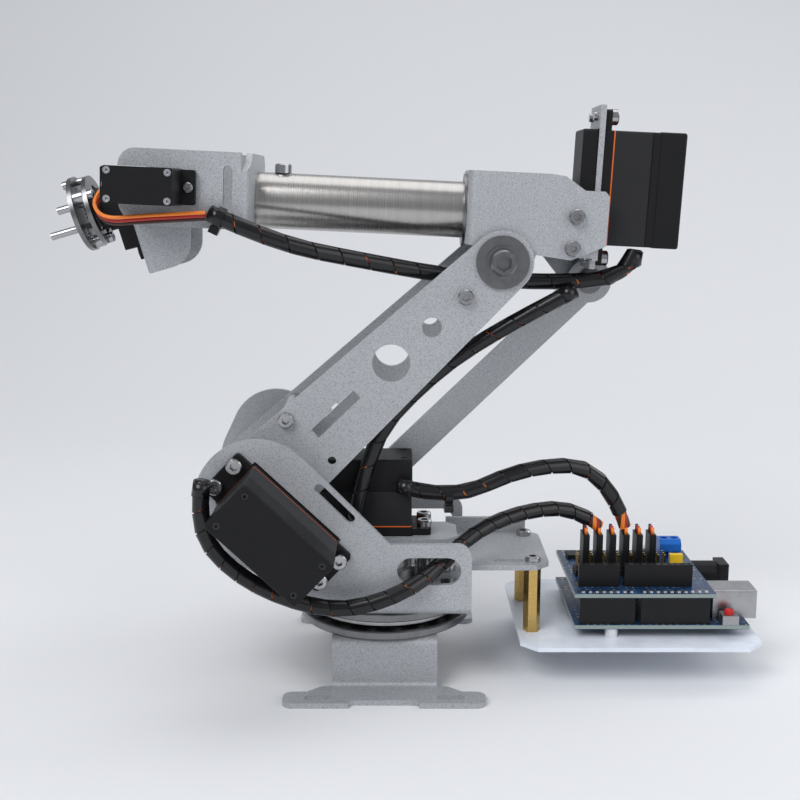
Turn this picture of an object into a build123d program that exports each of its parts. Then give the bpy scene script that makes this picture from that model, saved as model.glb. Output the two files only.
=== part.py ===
from build123d import *
import os
from math import cos, radians, sin, tan

# Six-axis desktop robot arm of bent sheet, driven by hobby servos, in millimetres.
# Z is up, X points from the tool towards the controller, Y points away from the viewer.
# The origin is on the waist axis, at the underside of the base feet.

# Arm geometry
sheet = 2.0
shoulder_x = -44.3
shoulder_z = 71.4
boom_length = 119.0
boom_angle = 44.0
side_servo_lean = 43.6
lever_length = 36.5
lever_angle = -14.0
forearm_tilt = 2.7
tube_rise = 17.0
pitch_reach = 117.0
pitch_rise = 3.5
tool_tilt = 16.0

# Widths across the arm, measured from the middle plane to inner faces
boom_half_gap = 18.0
cheek_half_gap = 15.0
wrist_half_gap = 21.5
bend_radius = 3.0
running_gap = 0.3
seat_gap = 0.1
link_thickness = 3.0
crank_thickness = 2.0

# Standard servo
servo_length = 40.4
servo_width = 20.0
servo_bottom = 26.6
servo_ear = 2.5
servo_top = 7.4
servo_shaft_offset = 10.2
servo_ear_span = 54.4
servo_screw_pitch = 49.5
servo_screw_gauge = 10.0
servo_dome = 1.5
servo_cap_bottom = 9.0
servo_spline_radius = 2.95
horn_radius = 10.0
horn_thickness = 3.5
horn_pitch_radius = 7.0

# Micro servo
micro_length = 22.8
micro_width = 12.2
micro_bottom = 15.9
micro_ear = 2.5
micro_top = 4.3
micro_shaft_offset = 6.1
micro_ear_span = 32.2
micro_screw_pitch = 27.6
micro_dome = 3.6
micro_spline_radius = 2.3
micro_horn_radius = 5.0
micro_horn_thickness = 1.8

# Fasteners
m3_radius = 1.5
m3_hole = 1.6
m3_head_radius = 2.8
m3_head_height = 2.6
m2_radius = 1.0
m2_head_radius = 1.7
m2_head_height = 1.2
hex_key = 2.5

# Crank and its pins
crank_bearing_outer = 9.5
crank_hub_radius = 6.0
pin_head_radius = 3.9
pin_head_height = 1.0
pin_head_socket = 1.5

# Base bracket and turntable
base_height = 20.0
base_web_width = 38.0
base_depth = 60.0
foot_width = 72.0
foot_reach = 15.0
foot_slot_pitch = 47.0
foot_slot_length = 9.6
foot_slot_width = 3.4
base_bend = 3.5
race_radius = 32.0
race_bore = 20.0
race_thickness = 3.0
ball_radius = 2.0
ball_count = 18
ball_circle = 26.0
turntable_height = 9.6

# Waist bracket
waist_head_radius = 22.3
waist_rear_x = 31.0
waist_floor_front = -31.0
waist_shelf_z = 56.0
waist_corner = 5.0
cable_slot_length = 22.7
cable_slot_height = 10.0
cable_slot_z = 46.1
cable_slot_x = 15.9
weight_slot_length = 18.6
weight_slot_width = 3.2
far_head_radius = 18.0
far_head_rise = 11.0
waist_servo_lift = 20.5
tongue_reach = 9.0
tongue_half_width = 11.0

# Boom plates
boom_root_radius = 16.5
boom_root_shift = 1.5
boom_tip_radius = 11.0
boom_big_hole = 6.75
boom_small_hole = 3.5

# Forearm
elbow_eye_radius = 10.5
elbow_bolt_radius = 3.0
washer_radius = 9.3
cheek_rear = 36.0
cheek_top = 31.0
cheek_front = 13.0
lobe_radius = 8.0
mount_face = 33.7
tube_radius = 10.0
tube_wall = 1.5
tube_front = 88.0
tube_rear = 14.0
tube_screw_reach = 9.0
link_width = 11.5
eye_radius = 8.3
link_bearing_radius = 5.0
pin_radius = 2.5

# Wrist and tool
wrist_top = 16.0
wrist_bottom = 10.0
wrist_nose = 16.0
yoke_web = 17.0
yoke_sheet = 1.5
yoke_drop = 27.0
tool_disc_radius = 13.5
tool_disc_thickness = 1.6
tool_disc_gap = 3.6
tool_post_circle = 10.6
pin_shoulder = 0.25
tool_pin_spots = [(-4.5, 3.5, 1.4, 14.0), (3.2, -3.0, 1.4, 7.0), (11.4, 1.4, 1.5, 3.6)]

# Controller
tray_z = 14.2
tray_thickness = 1.6
standoff_length = 25.0
board_thickness = 1.6
main_board_z = 19.4
shield_board_z = 31.0
board_left = 70.0
main_board_length = 64.5
shield_length = 52.0
tray_left = 49.7
tray_right = 138.4
tray_front = -28.7
tray_back = 46.0
tray_chamfer = 6.0
bracket_left = 19.0
bracket_right = 61.0
bracket_front = -16.0
bracket_back = 28.0
bracket_chamfer = 5.0
bracket_lip = 8.0
standoff_spots = [(55.0, -11.0), (55.0, 22.0)]
bracket_spacer_spots = [(23.0, -21.0), (23.0, 21.0)]
socket_height = 8.5
pin_pitch = 2.54
servo_plug_columns = [1, 3, 5, 7, 9, 11]

# Waist servo deck, as front and rear edges and near and far edges
deck_front = -39.0
deck_rear = 27.0
deck_near = -14.0
deck_far = 9.0
deck_chamfer = 4.0

# Cables, each a hand-laid route of corner points
wrap_diameter = 5.8
wire_diameter = 1.3
wire_pitch = 2.0
wrist_cable_route = [
    (-59, -27.2, 171.2), (-37, -27.0, 161.0), (-8, -16, 154.5),
    (24, -8.5, 148.2), (56, -7, 146.0), (84, -6, 148.3),
]
boom_cable_route = [
    (58, -13, 140.5), (34, -13, 127.0), (12, -13.1, 109.0), (-3, -13.2, 88.0), (-2, -13.2, 60.0),
]
shoulder_cable_route = [
    (-60, -52, 84), (-62.5, -50.5, 68), (-55, -47, 54), (-40, -43.5, 42), (-18, -41.5, 34.5),
    (-2, -40.8, 37.5), (11, -37.5, 42.5), (20.5, -28.5, 47.6), (33, -16, 56), (52, -5, 60.5),
    (72, 2, 60), (82, 4.6, 51.6),
]
servo_cable_route = [
    (5, -13.2, 72.5), (24, -12.5, 66), (49, -8, 73.5), (77, 0, 68), (92, 4.6, 51.6),
]
wrist_lead_route = [
    (-93, -14.4, 183), (-101, -15.8, 176.5), (-95.5, -24.4, 169.2), (-82, -24.7, 170.3),
    (-60, -25.2, 171.4),
]

shoulder = Vector(shoulder_x, 0, shoulder_z)
boom_rise = radians(boom_angle)
elbow = shoulder + Vector(boom_length * cos(boom_rise), 0, boom_length * sin(boom_rise))
lever = Vector(lever_length * cos(radians(lever_angle)), 0, lever_length * sin(radians(lever_angle)))
boom_face = boom_half_gap + sheet
waist_face = boom_face + horn_thickness + 0.5 + servo_dome + servo_top
waist_floor_z = base_height + turntable_height
micro_horn_low = micro_top + micro_dome + 0.4
tool_rear_low = micro_horn_low + micro_horn_thickness
yoke_half_gap = wrist_half_gap + sheet - micro_horn_low - micro_horn_thickness - yoke_sheet


def across(sketch, low, high):
    """Extrude a sketch drawn in X and Z from Y = low to Y = high."""
    return extrude(Plane.XZ.offset(-low) * sketch, amount=high - low, dir=(0, 1, 0))


def rod(radius, start, end):
    """A round bar from one point to another."""
    start = Vector(*start)
    end = Vector(*end)
    along = Plane(origin=start, z_dir=end - start)
    return extrude(along * Circle(radius), amount=(end - start).length)


def rod_y(radius, x, z, low, high):
    return rod(radius, (x, low, z), (x, high, z))


def hull(*circles):
    """The outline round a few circles, each given as x, y, radius."""
    discs = Sketch() + [Pos(x, y) * Circle(radius) for x, y, radius in circles]
    return make_hull(discs.edges())


def channel(open_end, web, half, wall, bend):
    """The section of a bent U, open at one end and closed by its web at the other."""
    way = 1 if web > open_end else -1
    inside = half - wall
    bottom = web - way * wall
    mouth = open_end - way
    outer = [(open_end, -half * way), (web, -half * way), (web, half * way), (open_end, half * way)]
    inner = [(mouth, -inside * way), (bottom, -inside * way), (bottom, inside * way), (mouth, inside * way)]
    skin = Polygon(*outer, align=None)
    hollow = Polygon(*inner, align=None)
    return fillet(corners_at(skin, web), bend) - fillet(corners_at(hollow, bottom), bend - wall)


def corners_at(sketch, x):
    return [corner for corner in sketch.vertices() if abs(corner.X - x) < 1e-6]


def boxed(low, high):
    size = [b - a for a, b in zip(low, high)]
    middle = [(a + b) / 2 for a, b in zip(low, high)]
    return Pos(*middle) * Box(*size)


def cap_screw(length, radius=m3_radius, head=m3_head_radius, height=m3_head_height):
    """A socket head screw with its head above Z = 0 and its shank below."""
    body = Cylinder(head, height, align=(Align.CENTER, Align.CENTER, Align.MIN))
    body = chamfer(body.edges().group_by(Axis.Z)[-1], head * 0.14)
    body += Cylinder(radius, length, align=(Align.CENTER, Align.CENTER, Align.MAX))
    socket = RegularPolygon(radius * hex_key / 3.0, 6, major_radius=False)
    return body - Pos(0, 0, height * 0.4) * extrude(socket, amount=height)


def facing(point, direction):
    """The place of something whose Z axis points along direction."""
    return Plane(origin=point, z_dir=direction).location


def servo_screw_spots():
    middle = servo_shaft_offset - servo_length / 2
    return [
        (middle + side * servo_screw_pitch / 2, up * servo_screw_gauge / 2)
        for side in (-1, 1)
        for up in (-1, 1)
    ]


def rounded_block(length, width, low, high, shift, radius):
    outline = Pos(shift, 0) * RectangleRounded(length, width, radius)
    return extrude(Pos(0, 0, low) * outline, amount=high - low)


def standard_servo():
    """A servo as bottom cap, middle case and top cap, its ear seat at Z = 0 and shaft up."""
    middle = servo_shaft_offset - servo_length / 2
    low = -servo_ear - servo_bottom
    split_low = low + servo_cap_bottom
    split_high = 1.2
    bottom = rounded_block(servo_length, servo_width, low, split_low, middle, 1.2)
    bottom = fillet(bottom.edges().group_by(Axis.Z)[0], 0.8)
    for x in (-1, 1):
        for y in (-1, 1):
            spot = Pos(middle + x * (servo_length / 2 - 3.1), y * (servo_width / 2 - 3.1), low)
            bottom -= spot * Cylinder(1.4, 1.6)
    case = rounded_block(servo_length - 0.4, servo_width - 0.4, split_low, split_high, middle, 1.0)
    ears = Pos(middle, 0) * RectangleRounded(servo_ear_span, servo_width - 2.0, 1.5)
    for x, y in servo_screw_spots():
        ears -= Pos(x, y) * Circle(2.2)
        outer = x + (2.4 if x > middle else -2.4)
        ears -= Pos(outer, y) * Rectangle(3.6, 1.6)
    case += extrude(Pos(0, 0, -servo_ear) * ears, amount=servo_ear)
    top = rounded_block(servo_length, servo_width, split_high, servo_top, middle, 1.2)
    top = fillet(top.edges().group_by(Axis.Z)[-1], 0.8)
    top += Pos(0, 0, servo_top) * Cylinder(6.5, servo_dome, align=(Align.CENTER, Align.CENTER, Align.MIN))
    top -= Pos(0, 0, servo_top - 2) * Cylinder(servo_spline_radius + 0.15, 8)
    return [bottom, case, top]


def servo_cut(margin=0.3):
    """The window that a standard servo drops into, as a sketch."""
    middle = servo_shaft_offset - servo_length / 2
    return Pos(middle, 0) * Rectangle(servo_length + 2 * margin, servo_width + 2 * margin)


def servo_output():
    """The splined shaft and the round aluminium horn of a standard servo, ear seat at Z = 0."""
    horn_low = servo_top + servo_dome + 0.5
    shaft = Pos(0, 0, servo_top - 0.9) * Cylinder(
        servo_spline_radius, 3.9, align=(Align.CENTER, Align.CENTER, Align.MIN)
    )
    horn = Pos(0, 0, horn_low) * Cylinder(
        horn_radius, horn_thickness, align=(Align.CENTER, Align.CENTER, Align.MIN)
    )
    horn = chamfer(horn.edges().group_by(Axis.Z)[0], 0.5)
    horn -= shaft
    for turn in range(4):
        angle = radians(45 + 90 * turn)
        spot = Pos(horn_pitch_radius * cos(angle), horn_pitch_radius * sin(angle), horn_low)
        horn -= spot * Cylinder(1.25, 3 * horn_thickness)
    return [shaft, horn]


def micro_servo():
    """A micro servo as one case with its cover, its ear's shaft-side face at Z = 0."""
    middle = micro_shaft_offset - micro_length / 2
    low = -micro_ear - micro_bottom
    cover = rounded_block(micro_length, micro_width, low, low + 4.5, middle, 0.8)
    for x in (-1, 1):
        for y in (-1, 1):
            spot = Pos(middle + x * (micro_length / 2 - 1.4), y * (micro_width / 2 - 1.4), low)
            cover -= spot * Cylinder(0.9, 0.8)
    case = rounded_block(micro_length, micro_width, low + 4.5, micro_top, middle, 0.8)
    ears = Pos(middle, 0) * RectangleRounded(micro_ear_span, micro_width - 0.4, 0.8)
    for side in (-1, 1):
        ears -= Pos(middle + side * micro_screw_pitch / 2, 0) * Circle(1.1)
    case += extrude(Pos(0, 0, -micro_ear) * ears, amount=micro_ear)
    case += Pos(0, 0, micro_top) * Cylinder(5.6, micro_dome, align=(Align.CENTER, Align.CENTER, Align.MIN))
    case += Pos(-6.0, 0, micro_top) * Cylinder(2.6, micro_dome, align=(Align.CENTER, Align.CENTER, Align.MIN))
    case -= Pos(0, 0, micro_top) * Cylinder(micro_spline_radius + 0.15, 3 * micro_dome)
    return [cover, case]


def micro_screw_spots():
    middle = micro_shaft_offset - micro_length / 2
    return [(middle + side * micro_screw_pitch / 2, 0) for side in (-1, 1)]


def micro_output(arm_length, arm_width):
    """The small splined shaft and a straight horn, ear seat at Z = 0."""
    low = micro_top + micro_dome
    shaft = Pos(0, 0, low - 2.4) * Cylinder(
        micro_spline_radius, 3.4, align=(Align.CENTER, Align.CENTER, Align.MIN)
    )
    bar = Sketch() + Circle(micro_horn_radius) + SlotOverall(arm_length, arm_width)
    horn = extrude(Pos(0, 0, low + 0.4) * bar, amount=micro_horn_thickness)
    return [shaft, horn - shaft]


def write(name, solids):
    flat = []
    for item in solids:
        flat += item.solids()
    body = flat[0] if len(flat) == 1 else Compound(children=flat)
    body.label = name
    export_step(body, os.path.join("parts", name + ".step"))


# Base

def foot_outline(side):
    """One flange of the base: wide at the slots, waisted at the bend, notched in front."""
    start = side * (base_depth / 2 - 1)
    end = side * (base_depth / 2 + foot_reach)
    shoulder_y = side * (base_depth / 2 + foot_reach * 0.35)
    neck = Rectangle(base_web_width, abs(shoulder_y - start) + 2)
    pad_length = abs(end - shoulder_y)
    pad = RectangleRounded(foot_width, pad_length, 3.4)
    flange = Sketch() + Pos(0, (start + shoulder_y) / 2) * neck
    flange += Pos(0, (shoulder_y + end) / 2) * pad
    half = base_web_width / 2
    flare = Polygon(
        (half - 1, side * base_depth / 2),
        (half + 4, side * base_depth / 2 + side * 1.0),
        (half + 10, shoulder_y + side * 1.0),
        (half - 1, shoulder_y + side * 1.0),
        align=None,
    )
    flange += flare
    flange += mirror(flare, Plane.YZ)
    flange -= Pos(0, end) * RectangleRounded(25, 5.0, 1.8)
    for x in (-1, 1):
        slot = SlotOverall(foot_slot_length, foot_slot_width)
        flange -= Pos(x * foot_slot_pitch / 2, (shoulder_y + end) / 2) * slot
    return flange


def make_base_bracket():
    half = base_depth / 2
    profile = Polyline(
        (-half - foot_reach * 0.3, sheet / 2),
        (-half + sheet / 2, sheet / 2),
        (-half + sheet / 2, base_height - sheet / 2),
        (half - sheet / 2, base_height - sheet / 2),
        (half - sheet / 2, sheet / 2),
        (half + foot_reach * 0.3, sheet / 2),
    )
    path = fillet(profile.vertices().sort_by(Axis.X)[1:-1], base_bend - sheet / 2)
    skin = offset(path, sheet / 2, side=Side.BOTH, closed=True)
    bent = extrude(Plane.YZ.offset(-base_web_width / 2) * make_face(skin), amount=base_web_width)
    for side in (-1, 1):
        foot = extrude(foot_outline(side), amount=sheet, dir=(0, 0, 1))
        bent += foot - boxed((-foot_width, -half, -1), (foot_width, half, base_height))
    for x, y in base_screw_spots():
        bent -= Pos(x, y, base_height) * Cylinder(m3_hole, 4 * sheet)
    return bent


def base_screw_spots():
    ring = 9.0
    return [(ring * cos(radians(45 + 90 * n)), ring * sin(radians(45 + 90 * n))) for n in range(4)]


def race(low, groove_at):
    """A flat ring with a ball groove at the given height."""
    ring = Circle(race_radius) - Circle(race_bore)
    body = extrude(Pos(0, 0, low) * ring, amount=race_thickness)
    body = chamfer(body.edges().filter_by(GeomType.CIRCLE).group_by(SortBy.LENGTH)[-1], 0.4)
    groove = Pos(0, 0, groove_at) * Torus(ball_circle, ball_radius + 0.05)
    return body - groove


def make_turntable():
    middle = base_height + turntable_height / 2
    lower = race(base_height, middle)
    upper = race(base_height + turntable_height - race_thickness, middle)
    balls = []
    for n in range(ball_count):
        angle = radians(360 * n / ball_count)
        balls.append(Pos(ball_circle * cos(angle), ball_circle * sin(angle), middle) * Sphere(ball_radius))
    ring = Circle(ball_circle + 2.6) - Circle(ball_circle - 2.6)
    cage = extrude(Pos(0, 0, middle - 0.6) * ring, amount=1.2)
    for ball in balls:
        cage -= Pos(*ball.center()) * Sphere(ball_radius + 0.1)
    return lower, upper, balls, cage


def make_base_pillar():
    """The fixed post that the waist servo's horn is screwed to."""
    top = waist_floor_z + sheet + waist_servo_lift - servo_top - servo_dome - 0.5 - horn_thickness
    post = rod(12, (0, 0, base_height), (0, 0, top))
    post = chamfer(post.edges().group_by(Axis.Z)[-1], 0.8)
    for x, y in base_screw_spots():
        post -= Pos(x, y, base_height) * Cylinder(m3_radius, 20)
    return post


# Waist

def waist_servo_seat_z():
    return waist_floor_z + sheet + waist_servo_lift


def shoulder_servo_frame(side):
    """The servo on one waist plate: side -1 is near the viewer and 1 is far."""
    along = Vector(-cos(radians(side_servo_lean)), 0, sin(radians(side_servo_lean)))
    return Plane(
        origin=(shoulder_x, side * waist_face, shoulder_z), x_dir=along, z_dir=(0, -side, 0)
    ).location


def waist_side(head_x, head_z, head_radius):
    """The outline of one waist plate in X and Z: a round head that runs down to a low shelf."""
    low = waist_floor_z
    head = hull(
        (head_x, head_z, head_radius),
        (shoulder_x, shoulder_z, waist_head_radius),
        (waist_floor_front + 12, low + 12, 12),
        (-3, low + 13, 13),
        (3, 46, 6),
    )
    rear = Polygon(
        (waist_floor_front + 10, low),
        (waist_rear_x, low),
        (waist_rear_x, waist_shelf_z),
        (1, waist_shelf_z),
        (-11, low + 12),
        align=None,
    )
    rear = fillet(rear.vertices().group_by(Axis.Y)[-1].sort_by(Axis.X)[-1], waist_corner)
    side = head + rear
    side -= Pos(cable_slot_x, cable_slot_z) * SlotOverall(cable_slot_length, cable_slot_height)
    side -= Pos(-17.2, 71.0) * Rot(0, 0, -45) * SlotOverall(weight_slot_length, weight_slot_width)
    return side


def make_waist_bracket():
    section = channel(waist_floor_z + 90, waist_floor_z, waist_face, sheet, bend_radius)
    left = shoulder_x - 30
    place = Plane(origin=(left, 0, 0), x_dir=(0, 0, 1), z_dir=(1, 0, 0))
    folded = extrude(place * section, amount=waist_rear_x - left + 1)
    near = across(waist_side(shoulder_x, shoulder_z, waist_head_radius), -waist_face - 1, 0)
    far = across(waist_side(shoulder_x + 0.5, shoulder_z + far_head_rise, far_head_radius), 0, waist_face + 1)
    body = folded & (near + far)
    body -= Pos(0, 0, waist_floor_z) * Cylinder(13.5, 4 * sheet)
    for side in (-1, 1):
        frame = shoulder_servo_frame(side)
        body -= frame * extrude(Pos(0, 0, -sheet) * servo_cut(), amount=3 * sheet)
        for x, y in servo_screw_spots():
            body -= frame * Pos(x, y, 0) * Cylinder(m3_hole, 4 * sheet)
    tongue_front = waist_floor_front - tongue_reach
    tongue_rear = waist_floor_front + 12
    tongue_top = waist_floor_z + sheet
    low = (tongue_front, -tongue_half_width, waist_floor_z)
    body += boxed(low, (tongue_rear, tongue_half_width, tongue_top))
    for x, y in servo_screw_spots() + bracket_spacer_spots:
        body -= Pos(x, y, waist_floor_z) * Cylinder(m3_hole, 4 * sheet)
    return body


def waist_servo_frame():
    return Plane(origin=(0, 0, waist_servo_seat_z()), x_dir=(1, 0, 0), z_dir=(0, 0, -1)).location


def make_servo_deck():
    """The chamfered plate that the waist servo hangs in, open on the side where the link turns."""
    corners = [(deck_front, deck_near), (deck_rear, deck_near), (deck_rear, deck_far), (deck_front, deck_far)]
    outline = chamfer(Polygon(*corners, align=None).vertices(), deck_chamfer)
    outline -= servo_cut()
    for x, y in servo_screw_spots():
        outline -= Pos(x, y) * Circle(m3_hole)
    return extrude(Pos(0, 0, waist_servo_seat_z() - sheet) * outline, amount=sheet)


def make_waist_spacers():
    pieces = []
    for x, y in servo_screw_spots():
        spot = waist_servo_frame() * Pos(x, y, sheet)
        tube = Circle(2.6) - Circle(m3_hole)
        pieces.append(spot * extrude(tube, amount=waist_servo_lift - sheet))
    return pieces


# Boom and elbow linkage

def boom_point(along, up):
    """A point given along the boom from the shoulder axis, and square to it."""
    return (
        shoulder_x + along * cos(boom_rise) - up * sin(boom_rise),
        shoulder_z + along * sin(boom_rise) + up * cos(boom_rise),
    )


def boom_outline():
    root_x, root_z = boom_point(0, boom_root_shift)
    outline = hull((root_x, root_z, boom_root_radius), (elbow.X, elbow.Z, boom_tip_radius))
    outline -= Pos(*boom_point(66.4, 1.4)) * Circle(boom_big_hole)
    outline -= Pos(*boom_point(85.6, 0.6)) * Circle(boom_small_hole)
    outline -= Pos(*boom_point(26.5, -9.2)) * Circle(m3_hole)
    window = Rectangle(21, 4) + Pos(1.5, 2.0) * Rectangle(3, 1.6)
    outline -= Pos(*boom_point(39.5, 2.0)) * Rot(0, 0, boom_angle) * window
    outline -= Pos(elbow.X, elbow.Z) * Circle(elbow_bolt_radius + 0.05)
    for spot in boom_spacer_spots():
        outline -= Pos(*spot) * Circle(m3_hole)
    return outline


def boom_spacer_spots():
    return [boom_point(25.4, 12.9), boom_point(101.5, 0.2)]


def horn_screw_spots():
    spots = []
    for turn in range(4):
        angle = radians(45 + 90 * turn - side_servo_lean)
        x = shoulder_x + horn_pitch_radius * cos(angle)
        spots.append((x, shoulder_z + horn_pitch_radius * sin(angle)))
    return spots


def make_boom_plates():
    outline = boom_outline()
    near_outline = outline - Pos(shoulder_x, shoulder_z) * Circle(2.0)
    for spot in horn_screw_spots():
        near_outline -= Pos(*spot) * Circle(1.3)
    far_outline = outline - Pos(shoulder_x, shoulder_z) * Circle(crank_bearing_outer + seat_gap / 2)
    near = across(near_outline, -boom_face, -boom_half_gap)
    far = across(far_outline, boom_half_gap, boom_face)
    return near, far


def make_crank():
    """The crank plate, its hub through the far boom plate, and the lower link pin."""
    low = cheek_half_gap
    high = low + crank_thickness
    tip = shoulder + lever
    outline = hull((shoulder_x, shoulder_z, 9.5), (tip.X, tip.Z, lobe_radius))
    plate = across(outline, low, high)
    plate -= rod_y(pin_radius + 0.02, tip.X, tip.Z, low - 1, high + 1)
    hub = rod_y(crank_hub_radius, shoulder_x, shoulder_z, high, boom_face)
    return plate, hub


def make_pin(centre, reach):
    """A shouldered link pin that stands on the inner face of its lever plate."""
    low = cheek_half_gap - running_gap - link_thickness
    shank = rod_y(pin_radius, centre.X, centre.Z, low - running_gap, reach)
    face = low - running_gap - pin_head_height
    head = rod_y(pin_head_radius, centre.X, centre.Z, face, low - running_gap)
    socket = Pos(centre.X, centre.Z) * RegularPolygon(pin_head_socket, 6, major_radius=False)
    head -= across(socket, face, face + 0.6 * pin_head_height)
    return shank + head


def make_link():
    high = cheek_half_gap - running_gap
    low = high - link_thickness
    bottom = shoulder + lever
    top = elbow + lever
    bar = make_hull((Sketch() + [
        Pos(point.X, point.Z) * Circle(link_width / 2) for point in (bottom, top)
    ]).edges())
    for point in (bottom, top):
        bar += Pos(point.X, point.Z) * Circle(eye_radius)
    plate = across(bar, low, high)
    bearings = []
    for point in (bottom, top):
        plate -= rod_y(link_bearing_radius, point.X, point.Z, low - 1, high + 1)
        ring = Circle(link_bearing_radius) - Circle(pin_radius + 0.05)
        bearings.append(across(Pos(point.X, point.Z) * ring, low, high))
    return plate, bearings


# Forearm, drawn level with its origin at the elbow axis, then tilted about it

def in_forearm(shape):
    return Pos(elbow.X, 0, elbow.Z) * Rot(0, forearm_tilt, 0) * shape


def lever_local():
    angle = radians(lever_angle + forearm_tilt)
    return (lever_length * cos(angle), lever_length * sin(angle))


def cheek_outline(far):
    """One side of the elbow bracket, with the elbow eye and, on the far side, the lever lobe."""
    body = Polygon(
        (-cheek_front, 5.5),
        (-cheek_front, cheek_top),
        (15.5, cheek_top),
        (20.5, cheek_top - 0.6),
        (27.5, cheek_top - 5.2),
        (cheek_rear - 1.5, cheek_top - 5.2),
        (cheek_rear, cheek_top - 7.0),
        (cheek_rear, 7.0),
        (24.0, 1.6),
        align=None,
    )
    body += hull((0, 0, elbow_eye_radius), (4, 14, elbow_eye_radius))
    if far:
        body += hull((*lever_local(), lobe_radius), (20, 8, 6), (30, 12, 5))
    for spot in [(25.0, 16.7), (24.2, 5.8)]:
        body -= Pos(*spot) * Circle(m3_hole)
    body -= Circle(elbow_bolt_radius + 0.05)
    if far:
        body -= Pos(*lever_local()) * Circle(pin_radius + 0.02)
    return body


def make_elbow_bracket():
    high = cheek_half_gap + sheet
    section = channel(cheek_rear + 10, -cheek_front, high, sheet, bend_radius)
    folded = extrude(Pos(0, 0, -20) * section, amount=cheek_top + 25)
    body = folded & (across(cheek_outline(False), -high - 1, 0) + across(cheek_outline(True), 0, high + 1))
    body -= Pos(-cheek_front, 0, tube_rise) * Rot(0, 90, 0) * Cylinder(tube_radius + 1.6, 4 * sheet)
    return body


def roll_screw_spots():
    return [(25.0, 16.7), (24.2, 5.8)]


def make_roll_mount():
    """The bent plate that carries the roll servo between the cheeks."""
    inner = cheek_half_gap - seat_gap
    plate = boxed((mount_face - sheet, -inner, 1.8), (mount_face, inner, 25.0))
    upper = boxed((mount_face - sheet, -10.5, -1.5), (mount_face, 10.5, 55.5))
    body = plate + upper
    for side in (-1, 1):
        tab = boxed((19.5, inner - sheet, 2.5), (mount_face, inner, 21.5))
        body += tab if side > 0 else mirror(tab, Plane.XZ)
    body -= roll_servo_frame() * extrude(Pos(0, 0, -5) * servo_cut(), amount=10)
    for x, y in servo_screw_spots():
        body -= roll_servo_frame() * Pos(x, y, 0) * Cylinder(m3_hole, 4 * sheet)
    for x, z in roll_screw_spots():
        body -= rod_y(m3_hole, x, z, -2 * cheek_half_gap, 2 * cheek_half_gap)
    return body


def roll_servo_frame():
    return Plane(origin=(mount_face, 0, tube_rise), x_dir=(0, 0, -1), z_dir=(-1, 0, 0)).location


def make_tube():
    """The plain tube, with a hole near the front for the stop screw."""
    ring = Circle(tube_radius) - Circle(tube_radius - tube_wall)
    place = Plane(origin=(-tube_front, 0, tube_rise), z_dir=(1, 0, 0))
    tube = extrude(place * ring, amount=tube_front + tube_rear)
    return tube - Pos(-tube_front + tube_screw_reach, 0, tube_rise + tube_radius) * Cylinder(m3_radius, 6)


def make_tube_bearing():
    outer = tube_radius + 1.55
    ring = Circle(outer) - Circle(tube_radius + 0.05)
    flange = Circle(outer + 1.4) - Circle(tube_radius + 0.05)
    place = Plane(origin=(-cheek_front - 1.0, 0, tube_rise), z_dir=(1, 0, 0))
    return extrude(place * ring, amount=1.0 + sheet + 2.0) + extrude(place * flange, amount=1.0)


def make_coupler():
    """The stepped plug that joins the tube to the roll servo's horn."""
    horn_face = mount_face - servo_top - servo_dome - 0.5 - horn_thickness
    place = Plane(origin=(tube_rear - 10, 0, tube_rise), z_dir=(1, 0, 0))
    plug = extrude(place * Circle(tube_radius - tube_wall - 0.02), amount=10)
    cap_place = Plane(origin=(tube_rear, 0, tube_rise), z_dir=(1, 0, 0))
    return plug + extrude(cap_place * Circle(tube_radius), amount=horn_face - tube_rear)


# Wrist, drawn in the forearm's level frame

def pitch_axis():
    return Vector(-pitch_reach, 0, tube_rise + pitch_rise)


def wrist_side():
    axis = pitch_axis()
    left = axis.X - wrist_nose
    right = -tube_front
    low = axis.Z - wrist_bottom - pitch_rise
    high = axis.Z + wrist_top - pitch_rise
    side = Polygon((left, low), (left, high), (right, high), (right, low), align=None)
    left_corners = side.vertices().group_by(Axis.X)[0]
    side = fillet(left_corners.sort_by(Axis.Y)[-1], 6.0)
    side = fillet(side.vertices().group_by(Axis.Y)[0].sort_by(Axis.X)[0], 9.0)
    side -= Pos(right - 7.5, axis.Z - 1.5) * Rot(0, 0, 90) * SlotOverall(19, 3.2)
    return side


def pitch_servo_frame():
    axis = pitch_axis()
    return Plane(
        origin=(axis.X, -wrist_half_gap - sheet, axis.Z), x_dir=(1, 0, 0), z_dir=(0, 1, 0)
    ).location


def make_wrist_bracket():
    axis = pitch_axis()
    high = wrist_half_gap + sheet
    section = channel(axis.X - wrist_nose - 10, -tube_front, high, sheet, bend_radius)
    folded = extrude(Pos(0, 0, -20) * section, amount=80)
    body = folded & across(wrist_side(), -high - 1, high + 1)
    for side in (-1, 1):
        corner_z = axis.Z + wrist_top - pitch_rise
        corner = Plane(origin=(-tube_front - sheet - 1, side * high, corner_z), z_dir=(1, 0, 0))
        body -= extrude(corner * Rot(0, 0, 45) * Rectangle(9, 9), amount=2 * sheet)
    body -= pitch_servo_frame() * rounded_block(
        micro_length + 0.5, micro_width + 0.5, -5, 5, micro_shaft_offset - micro_length / 2, 0.4
    )
    for x, y in micro_screw_spots():
        body -= pitch_servo_frame() * Pos(x, y, 0) * Cylinder(0.9, 4 * sheet)
    body -= rod_y(1.6, axis.X, axis.Z, wrist_half_gap - 1, high + 1)
    body -= Plane(origin=(-tube_front - 3, 0, tube_rise), z_dir=(1, 0, 0)).location * Cylinder(1.6, 10)
    return body


# Yoke and tool, drawn level with the origin on the pitch axis and the tool axis along -X

def in_tool(shape):
    turned = Rot(0, -tool_tilt - forearm_tilt, 0) * shape
    axis = pitch_axis()
    return in_forearm(Pos(axis.X, axis.Y, axis.Z) * turned)


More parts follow.
